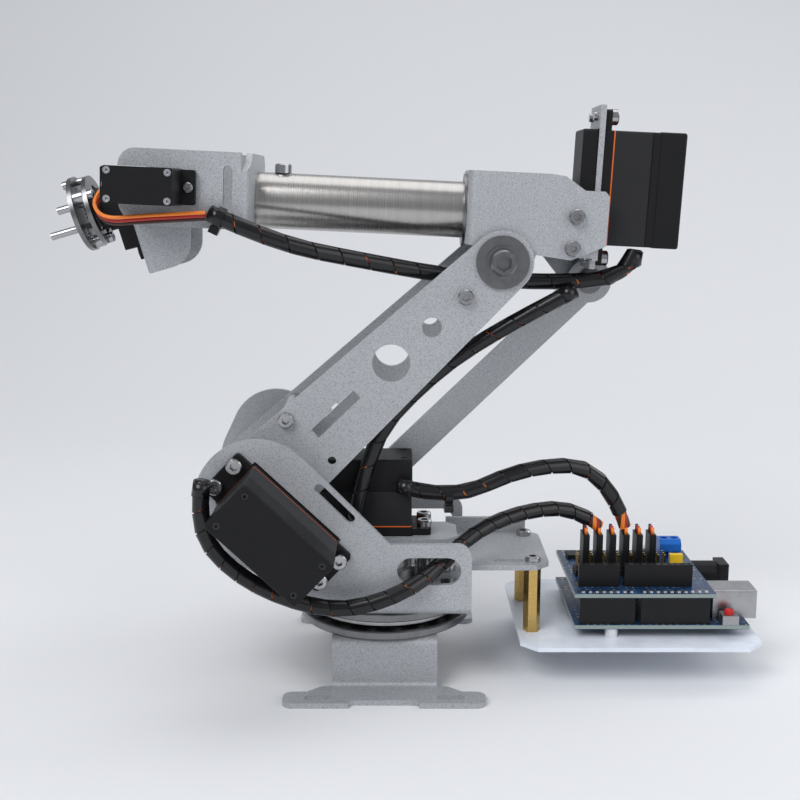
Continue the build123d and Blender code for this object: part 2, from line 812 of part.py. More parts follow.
def yoke_side():
    cheek = make_hull((Sketch() + [
        Circle(7.0),
        Pos(-8.0, -yoke_drop + 9.0) * Circle(9.0),
        Pos(-yoke_web + 1, -yoke_drop + 1) * Circle(1.0),
        Pos(-yoke_web + 1, 10) * Circle(1.0),
    ]).edges())
    return cheek - Circle(1.6)


def tool_servo_frame():
    return Plane(
        origin=(-yoke_web - micro_ear, 0, 0), x_dir=(0, 0, 1), z_dir=(-1, 0, 0)
    ).location


def make_yoke():
    high = yoke_half_gap + yoke_sheet
    section = channel(20, -yoke_web, high, yoke_sheet, yoke_sheet + 1.0)
    folded = extrude(Pos(0, 0, -yoke_drop - 5) * section, amount=yoke_drop + 25)
    body = folded & across(yoke_side(), -high - 1, high + 1)
    body -= tool_servo_frame() * rounded_block(
        micro_length + 0.5, micro_width + 0.5, -8, 8, micro_shaft_offset - micro_length / 2, 0.4
    )
    for x, y in micro_screw_spots():
        body -= tool_servo_frame() * Pos(x, y, 0) * Cylinder(0.9, 12)
    return body


def make_pitch_pivot():
    """The plain pivot opposite the pitch servo: a shouldered screw with a spacer."""
    axis = pitch_axis()
    start = yoke_half_gap + yoke_sheet
    high = wrist_half_gap + sheet
    spacer = across(Pos(axis.X, axis.Z) * (Circle(3.0) - Circle(m3_radius)), start + 0.1, wrist_half_gap)
    screw = facing((axis.X, high, axis.Z), (0, 1, 0)) * cap_screw(high - yoke_half_gap + 1.0)
    return spacer, screw


def make_tube_plug():
    """The plug in the front of the tube that the wrist bracket is screwed to."""
    place = Plane(origin=(-tube_front, 0, tube_rise), z_dir=(1, 0, 0))
    ring = Circle(tube_radius - tube_wall - 0.02) - Circle(m3_radius)
    return extrude(place * ring, amount=14)


def tool_reach(distance):
    """Distance along the tool axis of a point this far past the tool servo's ear seat."""
    return yoke_web + micro_ear + distance


def along_tool(radius, up, side, start, end):
    return rod(radius, (-start, side, up), (-end, side, up))


def make_tool():
    rear_low = tool_reach(tool_rear_low)
    front_low = rear_low + tool_disc_thickness + tool_disc_gap
    front_high = front_low + tool_disc_thickness
    rear = tool_disc(rear_low, tool_disc_thickness, tool_disc_radius - 1.0, 5)
    front = tool_disc(front_low, tool_disc_thickness, tool_disc_radius, 3)
    pins = []
    for up, side, radius, reach in tool_pin_spots:
        stem = along_tool(radius - pin_shoulder, up, side, rear_low + tool_disc_thickness, front_high)
        pins.append(stem + along_tool(radius, up, side, front_high, front_high + reach))
        front -= along_tool(radius - pin_shoulder + 0.02, up, side, front_low - 1, front_high + 1)
    spacers = []
    screws = []
    for turn in range(3):
        angle = radians(30 + 120 * turn)
        up = tool_post_circle * sin(angle)
        side = tool_post_circle * cos(angle)
        post = along_tool(2.4, up, side, rear_low + tool_disc_thickness, front_low)
        spacers.append(post - along_tool(m2_radius, up, side, rear_low, front_high))
        place = facing((-rear_low, side, up), (1, 0, 0))
        screws.append(place * cap_screw(tool_disc_thickness + 2.8, m2_radius, 1.9, 2.0))
        rear -= along_tool(m2_radius, up, side, rear_low - 1, rear_low + 3)
        front -= along_tool(m2_radius, up, side, front_low - 1, front_low + 3)
    return rear, front, pins, spacers, screws


def tool_disc(low, thickness, radius, slots):
    disc = Circle(radius) - Circle(2.0)
    for turn in range(slots):
        angle = 360 / slots * turn
        disc -= Rot(0, 0, angle) * Pos(radius * 0.62, 0) * Rot(0, 0, 90) * SlotOverall(radius * 0.5, 2.2)
    place = Plane(origin=(-low, 0, 0), x_dir=(0, 1, 0), z_dir=(-1, 0, 0))
    return extrude(place * disc, amount=thickness)


# Controller stack on the rear of the waist

def plate_with_chamfers(low, high, z, thickness, cut):
    outline = Polygon((low[0], low[1]), (high[0], low[1]), (high[0], high[1]), (low[0], high[1]), align=None)
    outline = chamfer(outline.vertices(), cut)
    return extrude(Pos(0, 0, z) * outline, amount=thickness)


def make_controller_bracket():
    z = tray_z + tray_thickness + standoff_length
    body = plate_with_chamfers(
        (bracket_left, bracket_front), (bracket_right, bracket_back), z, sheet, bracket_chamfer
    )
    edge = (bracket_left + bracket_chamfer, bracket_back - sheet, z)
    body += boxed(edge, (bracket_right - bracket_chamfer, bracket_back, z + bracket_lip))
    body += boxed((19, -25, z), (29, 25, z + sheet))
    body -= extrude(Pos(46, -10.5, z - 1) * SlotOverall(11, 3.4), amount=5)
    for x, y in standoff_spots + bracket_spacer_spots:
        body -= Pos(x, y, z) * Cylinder(m3_hole, 10)
    return body


def header(x, y, z, count, height, width=2.5, bore=0.5):
    """A row of sockets in a black strip, with one square mouth for each pin."""
    length = count * pin_pitch
    strip = boxed((x, y - width / 2, z), (x + length, y + width / 2, z + height))
    for n in range(count):
        mouth = Pos(x + (n + 0.5) * pin_pitch, y, z + height) * Box(2 * bore, 2 * bore, 3.0)
        strip -= mouth
    return strip


def make_controller():
    plate_z = tray_z + tray_thickness + standoff_length
    write("controller_bracket", [make_controller_bracket()])
    spacers = []
    screws = []
    for x, y in bracket_spacer_spots:
        floor = waist_floor_z + sheet
        ring = Circle(2.6) - Circle(m3_radius)
        spacers.append(extrude(Pos(x, y, floor) * ring, amount=plate_z - floor))
        screws.append(Pos(x, y, plate_z + sheet) * cap_screw(plate_z + sheet - waist_floor_z))
    for x, y in standoff_spots:
        screws.append(Pos(x, y, plate_z + sheet) * cap_screw(5, m3_radius, 2.9, 2.0))
        screws.append(facing((x, y, tray_z), (0, 0, -1)) * cap_screw(5, m3_radius, 2.9, 1.8))
    posts = []
    for x, y in standoff_spots:
        hexagon = RegularPolygon(2.75, 6, major_radius=False) - Circle(m3_radius)
        posts.append(extrude(Pos(x, y, tray_z + tray_thickness) * hexagon, amount=standoff_length))
    tray = plate_with_chamfers(
        (tray_left, tray_front), (tray_right, tray_back), tray_z, tray_thickness, tray_chamfer
    )
    for x, y in standoff_spots:
        tray -= Pos(x, y, tray_z) * Cylinder(m3_hole, 10)
    main = boxed(
        (board_left, -19.7, main_board_z),
        (board_left + main_board_length, 33.7, main_board_z + board_thickness),
    )
    board_holes = [(14.0, -17.0), (15.2, 31.2), (62.0, -4.5), (62.0, 26.0)]
    for x, y in [(board_left + x, y) for x, y in board_holes]:
        ring = Circle(2.4) - Circle(1.0)
        low = tray_z + tray_thickness
        posts.append(extrude(Pos(x, y, low) * ring, amount=main_board_z - low))
        main -= Pos(x, y, main_board_z) * Cylinder(m3_hole, 10)
        tray -= Pos(x, y, tray_z) * Cylinder(m3_hole, 10)
        screws.append(facing((x, y, tray_z), (0, 0, -1)) * cap_screw(4.4, 1.0, 2.0, 1.6))
    write("controller_tray", [tray])
    write("brass_standoffs", posts)
    write("main_board", [main])
    top = main_board_z + board_thickness
    front = -17.4
    sockets = [
        header(board_left + 2.0, front, top, 8, socket_height),
        header(board_left + 24.5, front, top, 10, socket_height),
        header(board_left + 14.0, front + 48.3, top, 8, socket_height),
        header(board_left + 36.0, front + 48.3, top, 6, socket_height),
    ]
    usb = boxed((board_left + 52.5, -12.8, top), (board_left + 68.8, -0.8, top + 10.8))
    usb -= boxed((board_left + 60, -11.0, top + 1.5), (board_left + 70, -2.6, top + 9.3))
    usb += boxed((board_left + 59, -9.6, top + 3.8), (board_left + 68.2, -4.0, top + 6.8))
    write("usb_socket", [fillet(usb.edges().filter_by(Axis.X).group_by(Axis.Z)[-1], 0.8)])
    jack = boxed((board_left + 52.5, 17.0, top), (board_left + 62.5, 26.0, top + 6.5))
    jack += rod(4.5, (board_left + 52.5, 21.5, top + 6.5), (board_left + 62.5, 21.5, top + 6.5))
    jack += boxed((board_left + 62.5, 16.7, top), (board_left + 66.5, 26.3, top + 11.0))
    jack -= rod(3.1, (board_left + 56, 21.5, top + 6.3), (board_left + 67, 21.5, top + 6.3))
    jack += rod(1.0, (board_left + 56, 21.5, top + 6.3), (board_left + 65.5, 21.5, top + 6.3))
    write("power_jack", [jack])
    shield_top = shield_board_z + board_thickness
    shield = boxed((board_left, -18.5, shield_board_z), (board_left + shield_length, 33.7, shield_top))
    write("servo_shield", [shield])
    rows = []
    for x, y, count in [
        (board_left + 2.0, front, 8), (board_left + 24.5, front, 10),
        (board_left + 14.0, front + 48.3, 8), (board_left + 36.0, front + 48.3, 6),
    ]:
        strip = boxed((x, y - 1.2, top + socket_height), (x + count * pin_pitch, y + 1.2, shield_board_z))
        rows.append(strip)
    sockets += [
        header(board_left + 2.5, -9.5, shield_top, 6, socket_height),
        header(board_left + 19.5, -9.5, shield_top, 10, socket_height),
    ]
    for row in range(3):
        y = 2.0 + row * pin_pitch
        strip = boxed(
            (board_left + 3.0, y - 1.25, shield_top),
            (board_left + 3.0 + 14 * pin_pitch, y + 1.25, shield_top + 2.4),
        )
        for n in range(14):
            pin = boxed((-0.32, -0.32, 0), (0.32, 0.32, 8.4))
            strip += Pos(board_left + 3.0 + (n + 0.5) * pin_pitch, y, shield_top) * pin
        rows.append(strip)
    write("pin_headers", rows)
    plugs = []
    for n in servo_plug_columns:
        x = board_left + 3.0 + (n + 0.5) * pin_pitch
        plug = boxed((x - 1.22, 0.6, shield_top + 2.7), (x + 1.22, 8.6, shield_top + 16.5))
        for row in range(3):
            y = 2.0 + row * pin_pitch
            plug -= boxed((x - 0.36, y - 0.36, shield_top + 2), (x + 0.36, y + 0.36, shield_top + 8.8))
        plugs.append(plug)
    write("servo_plugs", plugs)
    terminal = boxed((board_left + 39.0, 18.0, shield_top), (board_left + 47.5, 26.0, shield_top + 9.0))
    terminal = chamfer(terminal.edges().filter_by(Axis.X).group_by(Axis.Z)[-1], 1.6)
    for x in (41.2, 45.2):
        terminal -= Pos(board_left + x, 22.0, shield_top + 9) * Cylinder(1.5, 3.0)
        entry = (board_left + x - 1.3, 17, shield_top + 1)
        terminal -= boxed(entry, (board_left + x + 1.3, 20, shield_top + 4.5))
    jumper = boxed((board_left + 41.0, 9.0, shield_top), (board_left + 46.0, 11.4, shield_top + 6.0))
    write("screw_terminal", [terminal, jumper])
    x, y = board_left + 57.5, -16.7
    box = boxed((x - 3, y - 3, top), (x + 3, y + 3, top + 3.4))
    box -= Pos(x, y, top + 3.4) * Cylinder(1.8, 2.0)
    cap = Pos(x, y, top + 2.75) * Cylinder(1.7, 2.2, align=(Align.CENTER, Align.CENTER, Align.MIN))
    write("board_sockets", sockets + [box])
    write("reset_button", [chamfer(cap.edges().group_by(Axis.Z)[-1], 0.3)])
    return spacers, screws


# Cables

def cord_tube(route, diameter):
    """A round cord: straight runs joined by tangent arcs, with its tightest bend and volume printed."""
    points = [Vector(*point) for point in route]
    radii = []
    for before, corner, after in zip(points, points[1:], points[2:]):
        run_in = corner - before
        run_out = after - corner
        half_turn = radians(run_in.get_angle(run_out)) / 2
        radii.append(0.45 * min(run_in.length, run_out.length) / tan(half_turn))
    path = FilletPolyline(*points, radius=radii)
    section = Plane(origin=path @ 0, z_dir=path % 0) * Circle(diameter / 2)
    tube = sweep(section, path=path)
    fill = tube.volume / (section.area * path.length)
    bends = [round(radius, 1) for radius in radii]
    print("cord", diameter, "length", round(path.length, 1), "radii", bends, "fill", round(fill, 3))
    return tube


def make_cables():
    write("wrist_cable", [cord_tube(wrist_cable_route, wrap_diameter)])
    write("boom_cable", [cord_tube(boom_cable_route, wrap_diameter)])
    waist_routes = [shoulder_cable_route, servo_cable_route]
    write("waist_cables", [cord_tube(route, wrap_diameter) for route in waist_routes])
    wires = []
    for place in range(3):
        route = [(x, y - place * wire_pitch, z) for x, y, z in wrist_lead_route]
        wires.append(cord_tube(route, wire_diameter))
    write("wrist_leads", wires)


def make_all():
    os.makedirs("parts", exist_ok=True)
    write("base_bracket", [make_base_bracket()])
    lower, upper, balls, cage = make_turntable()
    write("turntable_lower_race", [lower])
    write("turntable_upper_race", [upper])
    write("turntable_balls", balls + [cage])
    write("base_pillar", [make_base_pillar()] + [waist_servo_frame() * piece for piece in servo_output()])
    base_screws = []
    for x, y in base_screw_spots():
        place = Plane(origin=(x, y, base_height - sheet), z_dir=(0, 0, -1)).location
        base_screws.append(place * cap_screw(9))
    write("base_screws", base_screws)

    write("waist_bracket", [make_waist_bracket()])
    write("waist_servo", [waist_servo_frame() * piece for piece in standard_servo()])
    write("servo_deck", [make_servo_deck()])
    waist_screws = []
    for x, y in servo_screw_spots():
        place = waist_servo_frame() * Pos(x, y, -servo_ear) * Rot(180, 0, 0)
        waist_screws.append(place * cap_screw(servo_ear + waist_servo_lift + sheet))
    write("shoulder_servo", [shoulder_servo_frame(-1) * piece for piece in standard_servo()])
    write("elbow_servo", [shoulder_servo_frame(1) * piece for piece in standard_servo()])
    for side in (-1, 1):
        for x, y in servo_screw_spots():
            place = shoulder_servo_frame(side) * Pos(x, y, -servo_ear) * Rot(180, 0, 0)
            waist_screws.append(place * cap_screw(servo_ear + sheet + 2.5))

    near, far = make_boom_plates()
    write("boom_plate_near", [near])
    write("boom_plate_far", [far])
    write("shoulder_horn", [shoulder_servo_frame(-1) * piece for piece in servo_output()])
    spacers = []
    screws = []
    for x, z in boom_spacer_spots():
        ring = Circle(3.0) - Circle(m3_hole)
        spacers.append(across(Pos(x, z) * ring, -boom_half_gap, boom_half_gap))
        for side in (-1, 1):
            screws.append(facing((x, side * boom_face, z), (0, side, 0)) * cap_screw(8))
    for x, z in horn_screw_spots():
        place = facing((x, -boom_half_gap, z), (0, 1, 0))
        screws.append(place * cap_screw(4.5, 1.2, 2.2, 1.4))
    write("boom_fasteners", spacers + screws)
    ring = Circle(crank_bearing_outer) - Circle(crank_hub_radius + 0.05)
    write("crank_bearing", [across(Pos(shoulder_x, shoulder_z) * ring, boom_half_gap, boom_face)])

    plate, hub = make_crank()
    write("crank_plate", [plate])
    write("crank_horn", [hub] + [shoulder_servo_frame(1) * piece for piece in servo_output()])
    write("crank_pin", [make_pin(shoulder + lever, cheek_half_gap + crank_thickness)])
    bar, bearings = make_link()
    write("link_rod", [bar])
    write("link_bearings", bearings)
    write("link_pin", [make_pin(elbow + lever, cheek_half_gap + sheet)])

    bolt = rod_y(elbow_bolt_radius, elbow.X, elbow.Z, -boom_face - 2.2, boom_face + 2.2)
    head = facing((elbow.X, -boom_face - 2.2, elbow.Z), (0, -1, 0)) * cap_screw(1.0, 3.0, 4.6, 3.4)
    nut = RegularPolygon(4.6, 6) - Circle(elbow_bolt_radius)
    bolt_set = [bolt + head, across(Pos(elbow.X, elbow.Z) * nut, boom_face + 1.2, boom_face + 4.8)]
    washers = []
    for low, high, radius in [
        (-boom_face - 1.2, -boom_face, washer_radius),
        (-boom_face - 2.2, -boom_face - 1.2, washer_radius * 0.63),
        (-boom_half_gap, -cheek_half_gap - sheet - 0.05, 6.0),
        (cheek_half_gap + sheet + 0.05, boom_half_gap, 6.0),
        (boom_face, boom_face + 1.2, washer_radius),
    ]:
        ring = Circle(radius) - Circle(elbow_bolt_radius)
        washers.append(across(Pos(elbow.X, elbow.Z) * ring, low, high))
    write("elbow_bolt", bolt_set + washers)

    write("elbow_bracket", [in_forearm(make_elbow_bracket())])
    write("roll_servo_mount", [in_forearm(make_roll_mount())])
    write("roll_servo", [in_forearm(roll_servo_frame() * piece) for piece in standard_servo()])
    screws = []
    for x, y in servo_screw_spots():
        place = roll_servo_frame() * Pos(x, y, -servo_ear) * Rot(180, 0, 0)
        screws.append(in_forearm(place * cap_screw(servo_ear + sheet + 1.5)))
    for x, z in roll_screw_spots():
        for side in (-1, 1):
            place = facing((x, side * (cheek_half_gap + sheet), z), (0, side, 0))
            screws.append(in_forearm(place * cap_screw(5)))
    write("forearm_screws", screws)
    write("tube_bearing", [in_forearm(make_tube_bearing())])
    write("forearm_tube", [in_forearm(make_tube())])
    write("tube_plugs", [in_forearm(make_coupler()), in_forearm(make_tube_plug())])
    write("roll_horn", [in_forearm(roll_servo_frame() * piece) for piece in servo_output()])
    place = facing((-tube_front + tube_screw_reach, 0, tube_rise + tube_radius), (0, 0, 1))
    tube_screw = in_forearm(place * cap_screw(1.4, 1.5, 3.0, 3.2))
    write("wrist_bracket", [in_forearm(make_wrist_bracket())])
    write("pitch_servo", [in_forearm(pitch_servo_frame() * piece) for piece in micro_servo()])
    write("yoke", [in_tool(make_yoke())])
    write("tool_servo", [in_tool(tool_servo_frame() * piece) for piece in micro_servo()])
    write("pitch_horn", [in_forearm(pitch_servo_frame() * piece) for piece in micro_output(18, 4.6)])
    spacer, screw = make_pitch_pivot()
    screws = [in_forearm(screw), in_forearm(spacer), tube_screw]
    for x, y in micro_screw_spots():
        place = pitch_servo_frame() * Pos(x, y, -micro_ear) * Rot(180, 0, 0)
        screw = cap_screw(micro_ear + sheet + 1, 0.85, m2_head_radius, m2_head_height)
        screws.append(in_forearm(place * screw))
    place = facing((-tube_front - sheet, 0, tube_rise), (-1, 0, 0))
    screws.append(in_forearm(place * cap_screw(sheet + 8)))
    write("wrist_screws", screws)
    screws = []
    for x, y in micro_screw_spots():
        place = tool_servo_frame() * Pos(x, y, 0)
        screw = cap_screw(micro_ear + yoke_sheet + 1, 0.85, m2_head_radius, m2_head_height)
        screws.append(in_tool(place * screw))
    write("tool_servo_screws", screws)
    write("tool_horn", [in_tool(tool_servo_frame() * piece) for piece in micro_output(15, 5)])
    rear, front, pins, spacers, screws = make_tool()
    write("tool_disc_rear", [in_tool(rear)])
    write("tool_disc_front", [in_tool(front)])
    write("tool_pins", [in_tool(piece) for piece in pins + spacers + screws])
    controller_spacers, controller_screws = make_controller()
    write("waist_spacers", make_waist_spacers() + controller_spacers)
    write("waist_screws", waist_screws + controller_screws)
    make_cables()


make_all()
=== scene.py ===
"""Looks of a desktop robot arm of bent sheet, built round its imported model. Lengths are in metres."""

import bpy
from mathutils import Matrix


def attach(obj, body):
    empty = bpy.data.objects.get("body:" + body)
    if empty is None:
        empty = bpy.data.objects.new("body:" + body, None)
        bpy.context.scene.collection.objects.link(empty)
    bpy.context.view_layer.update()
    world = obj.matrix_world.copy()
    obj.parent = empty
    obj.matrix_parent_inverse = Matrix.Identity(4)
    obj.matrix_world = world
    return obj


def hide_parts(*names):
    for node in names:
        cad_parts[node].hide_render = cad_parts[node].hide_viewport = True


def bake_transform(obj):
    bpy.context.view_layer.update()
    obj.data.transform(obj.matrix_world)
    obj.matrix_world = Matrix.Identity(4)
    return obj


bl_info = {
    "name": "Desktop robot arm",
    "version": (1, 0, 0),
    "blender": (4, 5, 0),
    "location": "3D View > Sidebar > Arm",
    "description": "Finishes, cables and stage for a jointed desktop robot arm",
    "category": "Object",
}

import math
import bmesh
import bpy
from mathutils import Matrix, Vector

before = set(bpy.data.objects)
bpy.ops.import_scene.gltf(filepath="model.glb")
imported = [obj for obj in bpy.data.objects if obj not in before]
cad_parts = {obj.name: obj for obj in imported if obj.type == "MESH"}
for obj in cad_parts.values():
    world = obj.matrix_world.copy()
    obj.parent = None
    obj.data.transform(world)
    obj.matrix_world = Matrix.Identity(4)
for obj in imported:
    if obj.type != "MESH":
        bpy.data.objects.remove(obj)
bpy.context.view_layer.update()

# Places that the finishes and small pieces are measured from
FOREARM_TILT = math.radians(2.7)
TOOL_TILT = math.radians(-16.0)
ELBOW = Vector((0.0413014, 0.0, 0.1540643))
PITCH_AXIS = Vector((-0.0746046, 0.0, 0.1800528))
SHOULDER = Vector((-0.0443, 0.0, 0.0714))

# Servos: where their ears sit, and heights along the shaft. Splits and backs are counted from the
# ears, the small servos' split and the sink of the larger ones' screw heads from the back
WAIST_FACE = 0.0329
WAIST_SEAT = 0.0521
ROLL_SEAT = (0.0337, 0, 0.017)
PITCH_FACE = -0.0235
TOOL_SEAT = -0.0195
SERVO_LEAN = math.radians(43.6)
SERVO_SPLITS = (-0.0172, -0.0036)
SERVO_BACK = -0.0291
SERVO_HEAD_SINK = 0.0005
MICRO_BACK = -0.0184
MICRO_SPLIT = 0.0045
# Middle of the case along its length, then half the screws' spacing along and across
SERVO_SCREWS = (-0.010, 0.0171, 0.0069)
MICRO_SCREWS = (-0.0053, 0.0099, 0.0046)
SERVO_HEAD_RADIUS = 0.0013
MICRO_HEAD_RADIUS = 0.0012
HEAD_HEIGHT = 0.0006

# Controller: heights, and places where one node's mesh changes from one material to another
SHIELD_TOP = 0.0326
BOARD_TOP = 0.021
BOARD_LEFT = 0.070
BOARD_THICKNESS = 0.0016
PIN_PITCH = 0.00254
BRASS_END = 0.066
SOCKETS_END = 0.1240
JUMPER_END = 0.0150
PIN_BASE = 0.0025

# Small parts on the boards. Every x is counted from the boards' left edge
# Two corners, board and thickness of each chip
CHIPS = [
    ((0.0540, 0.0035), (0.0610, 0.0105), BOARD_TOP, 0.0012),
    ((0.0030, 0.0220), (0.0105, 0.0290), SHIELD_TOP, 0.0016),
    ((0.0180, 0.0220), (0.0280, 0.0262), SHIELD_TOP, 0.0016),
]
LEG_SIZE = (0.0005, 0.0013, 0.0007)
LEG_COUNT = 8
LEGS_LEFT = 0.01855
LEG_ROWS = (0.02145, 0.02675)
PAD_SIZE = (0.0011, 0.0012, 0.0007)
PAD_ROW = -0.0172
# Left end and count of each run of solder pads
PAD_RUNS = ((0.0020, 8), (0.0245, 10))
CRYSTAL_SIZE = (0.0100, 0.0036, 0.0034)
CRYSTAL_PLACE = (0.0590, 0.0140)
RESISTOR_SIZE = (0.0013, 0.0008, 0.0006)
# Left end, spacing, y, board and count of each row of resistors
RESISTOR_ROWS = [(0.0327, 0.0024, 0.0289, SHIELD_TOP, 5), (0.0552, 0.0022, -0.0006, BOARD_TOP, 3)]
CAN_PLACES = [(0.0335, 0.0220), (0.0450, 0.0305)]
CAN_RADIUS = 0.0024
CAN_HEIGHT = 0.0054
PLUGS_LEFT = 0.003
PLUGS_FRONT = 0.002
PLUG_TOP = 0.0491
PLUG_COLUMNS = (1, 3, 5, 7, 9, 11)
TAIL_RADIUS = 0.00062
TAIL_HEIGHT = 0.0026
TAIL_SIDES = 12

# Routes of the cables. A bend names the two bodies of a joint and where the bending starts and ends
WRIST_ROUTE = [
    (-0.059, -0.0272, 0.1712), (-0.037, -0.027, 0.161), (-0.008, -0.016, 0.1545),
    (0.024, -0.0085, 0.1482), (0.056, -0.007, 0.146), (0.0885, -0.006, 0.1472), (0.090, -0.006, 0.1575),
]
BOOM_ROUTE = [
    (0.068, -0.0118, 0.1437), (0.036, -0.013, 0.1275), (0.012, -0.0131, 0.109),
    (-0.006, -0.0132, 0.088), (-0.0115, -0.0132, 0.0585),
]
BOOM_BEND = ("boom", "forearm", (0.010, -0.013, 0.107), (0.060, -0.013, 0.140))
SHOULDER_ROUTE = [
    (-0.060, -0.052, 0.084), (-0.0625, -0.0505, 0.068), (-0.055, -0.047, 0.054),
    (-0.040, -0.0435, 0.042), (-0.018, -0.0415, 0.0345), (-0.002, -0.0408, 0.0375),
    (0.011, -0.0375, 0.0425), (0.0205, -0.0285, 0.0476), (0.033, -0.016, 0.056),
    (0.052, -0.005, 0.0605), (0.072, 0.002, 0.060), (0.082, 0.0046, 0.0516),
]
SERVO_ROUTE = [
    (0.005, -0.0132, 0.0725), (0.024, -0.0125, 0.066), (0.052, -0.008, 0.0785),
    (0.083, 0.001, 0.0765), (0.092, 0.0046, 0.0516),
]
LEAD_ROUTE = [
    (-0.093, -0.0144, 0.183), (-0.101, -0.0158, 0.1765), (-0.0955, -0.0244, 0.1692),
    (-0.082, -0.0247, 0.1703), (-0.060, -0.0252, 0.1714),
]
# Name, route, body, node that it replaces, length, share of the usual pitch, bare length at the
# far end, and which ends of the route have a sleeve
CABLES = [
    ("wrist", WRIST_ROUTE, "forearm", "wrist_cable", 0.1595, 1.0, 0.0, (0, -1)),
    ("boom", BOOM_ROUTE, BOOM_BEND, "boom_cable", 0.1208, 1.0, 0.0, (0, -1)),
    ("shoulder", SHOULDER_ROUTE, "waist", "waist_cables", 0.192, 0.74, 0.0055, (0,)),
    ("servo", SERVO_ROUTE, "waist", "waist_cables", 0.1032, 0.86, 0.0065, (0,)),
]
LEAD_BEND = ("yoke", "wrist", (-0.099, -0.016, 0.180), (-0.080, -0.025, 0.170))
LEAD_RADIUS = 0.00065
LEAD_PITCH = 0.002
LEAD_DROP = 0.0011
STRANDS = 0.0036
STRANDS_BARE_FROM = 0.078
STRANDS_BARE_BELOW = 0.0605
WIRE_BROWN = (0.06, 0.022, 0.012)
WIRE_RED = (0.45, 0.02, 0.015)
# A sleeve's length and radius as shares of the wrap's radius
SLEEVE_LENGTH = 2.1
SLEEVE_RADIUS = 1.06
SLEEVE_OVERHANG = 0.0003
SLEEVE_SIDES = 36
SLEEVE_TAPER = 0.94
SLEEVE_ROUNDING = 0.2

TIES = [
    ("wrist_tie", (-0.0555, -0.0271, 0.1696), (21, 0, -10), "forearm"),
    ("servo_tie", (0.0235, -0.0122, 0.0681), (19, 1, 0), "waist"),
]
TIE_INSIDE = 0.0030
TIE_OUTSIDE = 0.0037
TIE_HALF_WIDTH = 0.0013
TIE_SIDES = 40
LOCK_OUT = 0.0046
LOCK_SIZE = (0.0034, 0.0026, 0.0034)

# Largest chamfer of a block, its limit as a share of the thinnest side, and a drum's rounding
BLOCK_EDGE = 0.00025
BLOCK_SHARE = 0.3
DRUM_ROUNDING = 0.18
# A cross recess as shares of its head's radius, radius and height
RECESS_LENGTH = 1.2
RECESS_WIDTH = 0.3
RECESS_DEPTH = 1.2
SHARP_ANGLE = math.radians(40)
SAME_PLACE = 1e-7
# Steps in one turn of a spiral band, rows round its section, and how near its seams merge
WRAP_STEPS = 26.0
WRAP_ROWS = 5
WELD = 0.000002
GLOSS = "Specular IOR Level"
CONNECTOR_BLACK = (0.006, 0.006, 0.007)
PLATED_STEEL = (0.42, 0.42, 0.43)
GOLD = (0.80, 0.62, 0.25)

# Stage
LENS = 52.2
SENSOR_WIDTH = 36.0
CAMERA_SPOT = (0.0056, -0.425, 0.1805)
CAMERA_DIP = 10.5
FLOOR_HALF_WIDTH = 3.0
FLOOR_FRONT = -2.5
WALL_PLACE = 1.2
WALL_HEIGHT = 2.6
CORNER_RADIUS = 0.8
CORNER_STEPS = 12
SKY = (0.90, 0.93, 1.0, 1.0)
SKY_STRENGTH = 0.33
LAMP_AIM = (0.0, 0.0, 0.11)
# Name, place, side and power of each lamp
LAMPS = [
    ("key", (-0.55, -0.75, 0.95), 0.7, 10.0),
    ("fill", (0.85, -0.65, 0.50), 0.9, 4.2),
    ("top", (0.1, 0.25, 1.15), 0.9, 4.0),
    ("rim", (1.0, 0.5, 0.75), 0.6, 3.0),
]

SHEET_NODES = [
    "base_bracket", "waist_bracket", "servo_deck", "controller_bracket", "boom_plate_near",
    "boom_plate_far", "crank_plate", "link_rod", "elbow_bracket", "roll_servo_mount",
    "wrist_bracket", "yoke",
]
SCREW_NODES = [
    "base_screws", "waist_screws", "boom_fasteners", "forearm_screws", "wrist_screws",
    "tool_servo_screws", "tool_pins", "turntable_balls",
]
TURNED_NODES = [
    "waist_spacers", "elbow_bolt", "crank_pin", "link_pin", "link_bearings", "crank_bearing",
    "turntable_lower_race", "turntable_upper_race", "tube_bearing", "tool_disc_rear", "tool_disc_front",
]
ALUMINIUM_NODES = [
    "base_pillar", "shoulder_horn", "crank_horn", "roll_horn", "tube_plugs",
]


def length_setting(name, description, default):
    return bpy.props.FloatProperty(
        name=name, description=description, default=default, min=0.0, unit="LENGTH", precision=5
    )


def share_setting(name, description, default):
    return bpy.props.FloatProperty(name=name, description=description, default=default, min=0.1, max=1.0)


def colour_setting(name, description, default):
    return bpy.props.FloatVectorProperty(
        name=name, description=description, default=default, size=3, min=0.0, max=1.0, subtype="COLOR"
    )


class ArmSizes(bpy.types.PropertyGroup):
    """Sizes that a user would change."""

    wrap_pitch: length_setting("Wrap pitch", "Distance between turns of the spiral wrap", 0.0096)
    wrap_band: share_setting("Wrap band", "Share of the pitch that the band covers", 0.93)
    wrap_thickness: length_setting("Wrap thickness", "Thickness of the spiral wrap", 0.0005)
    wrap_radius: length_setting("Wrap radius", "Outer radius of a wrapped cable", 0.0029)
    speckle: length_setting("Speckle", "Size of the flecks in the paint", 0.00048)
    gasket: length_setting("Gasket", "Width of the line between two servo cases", 0.00045)


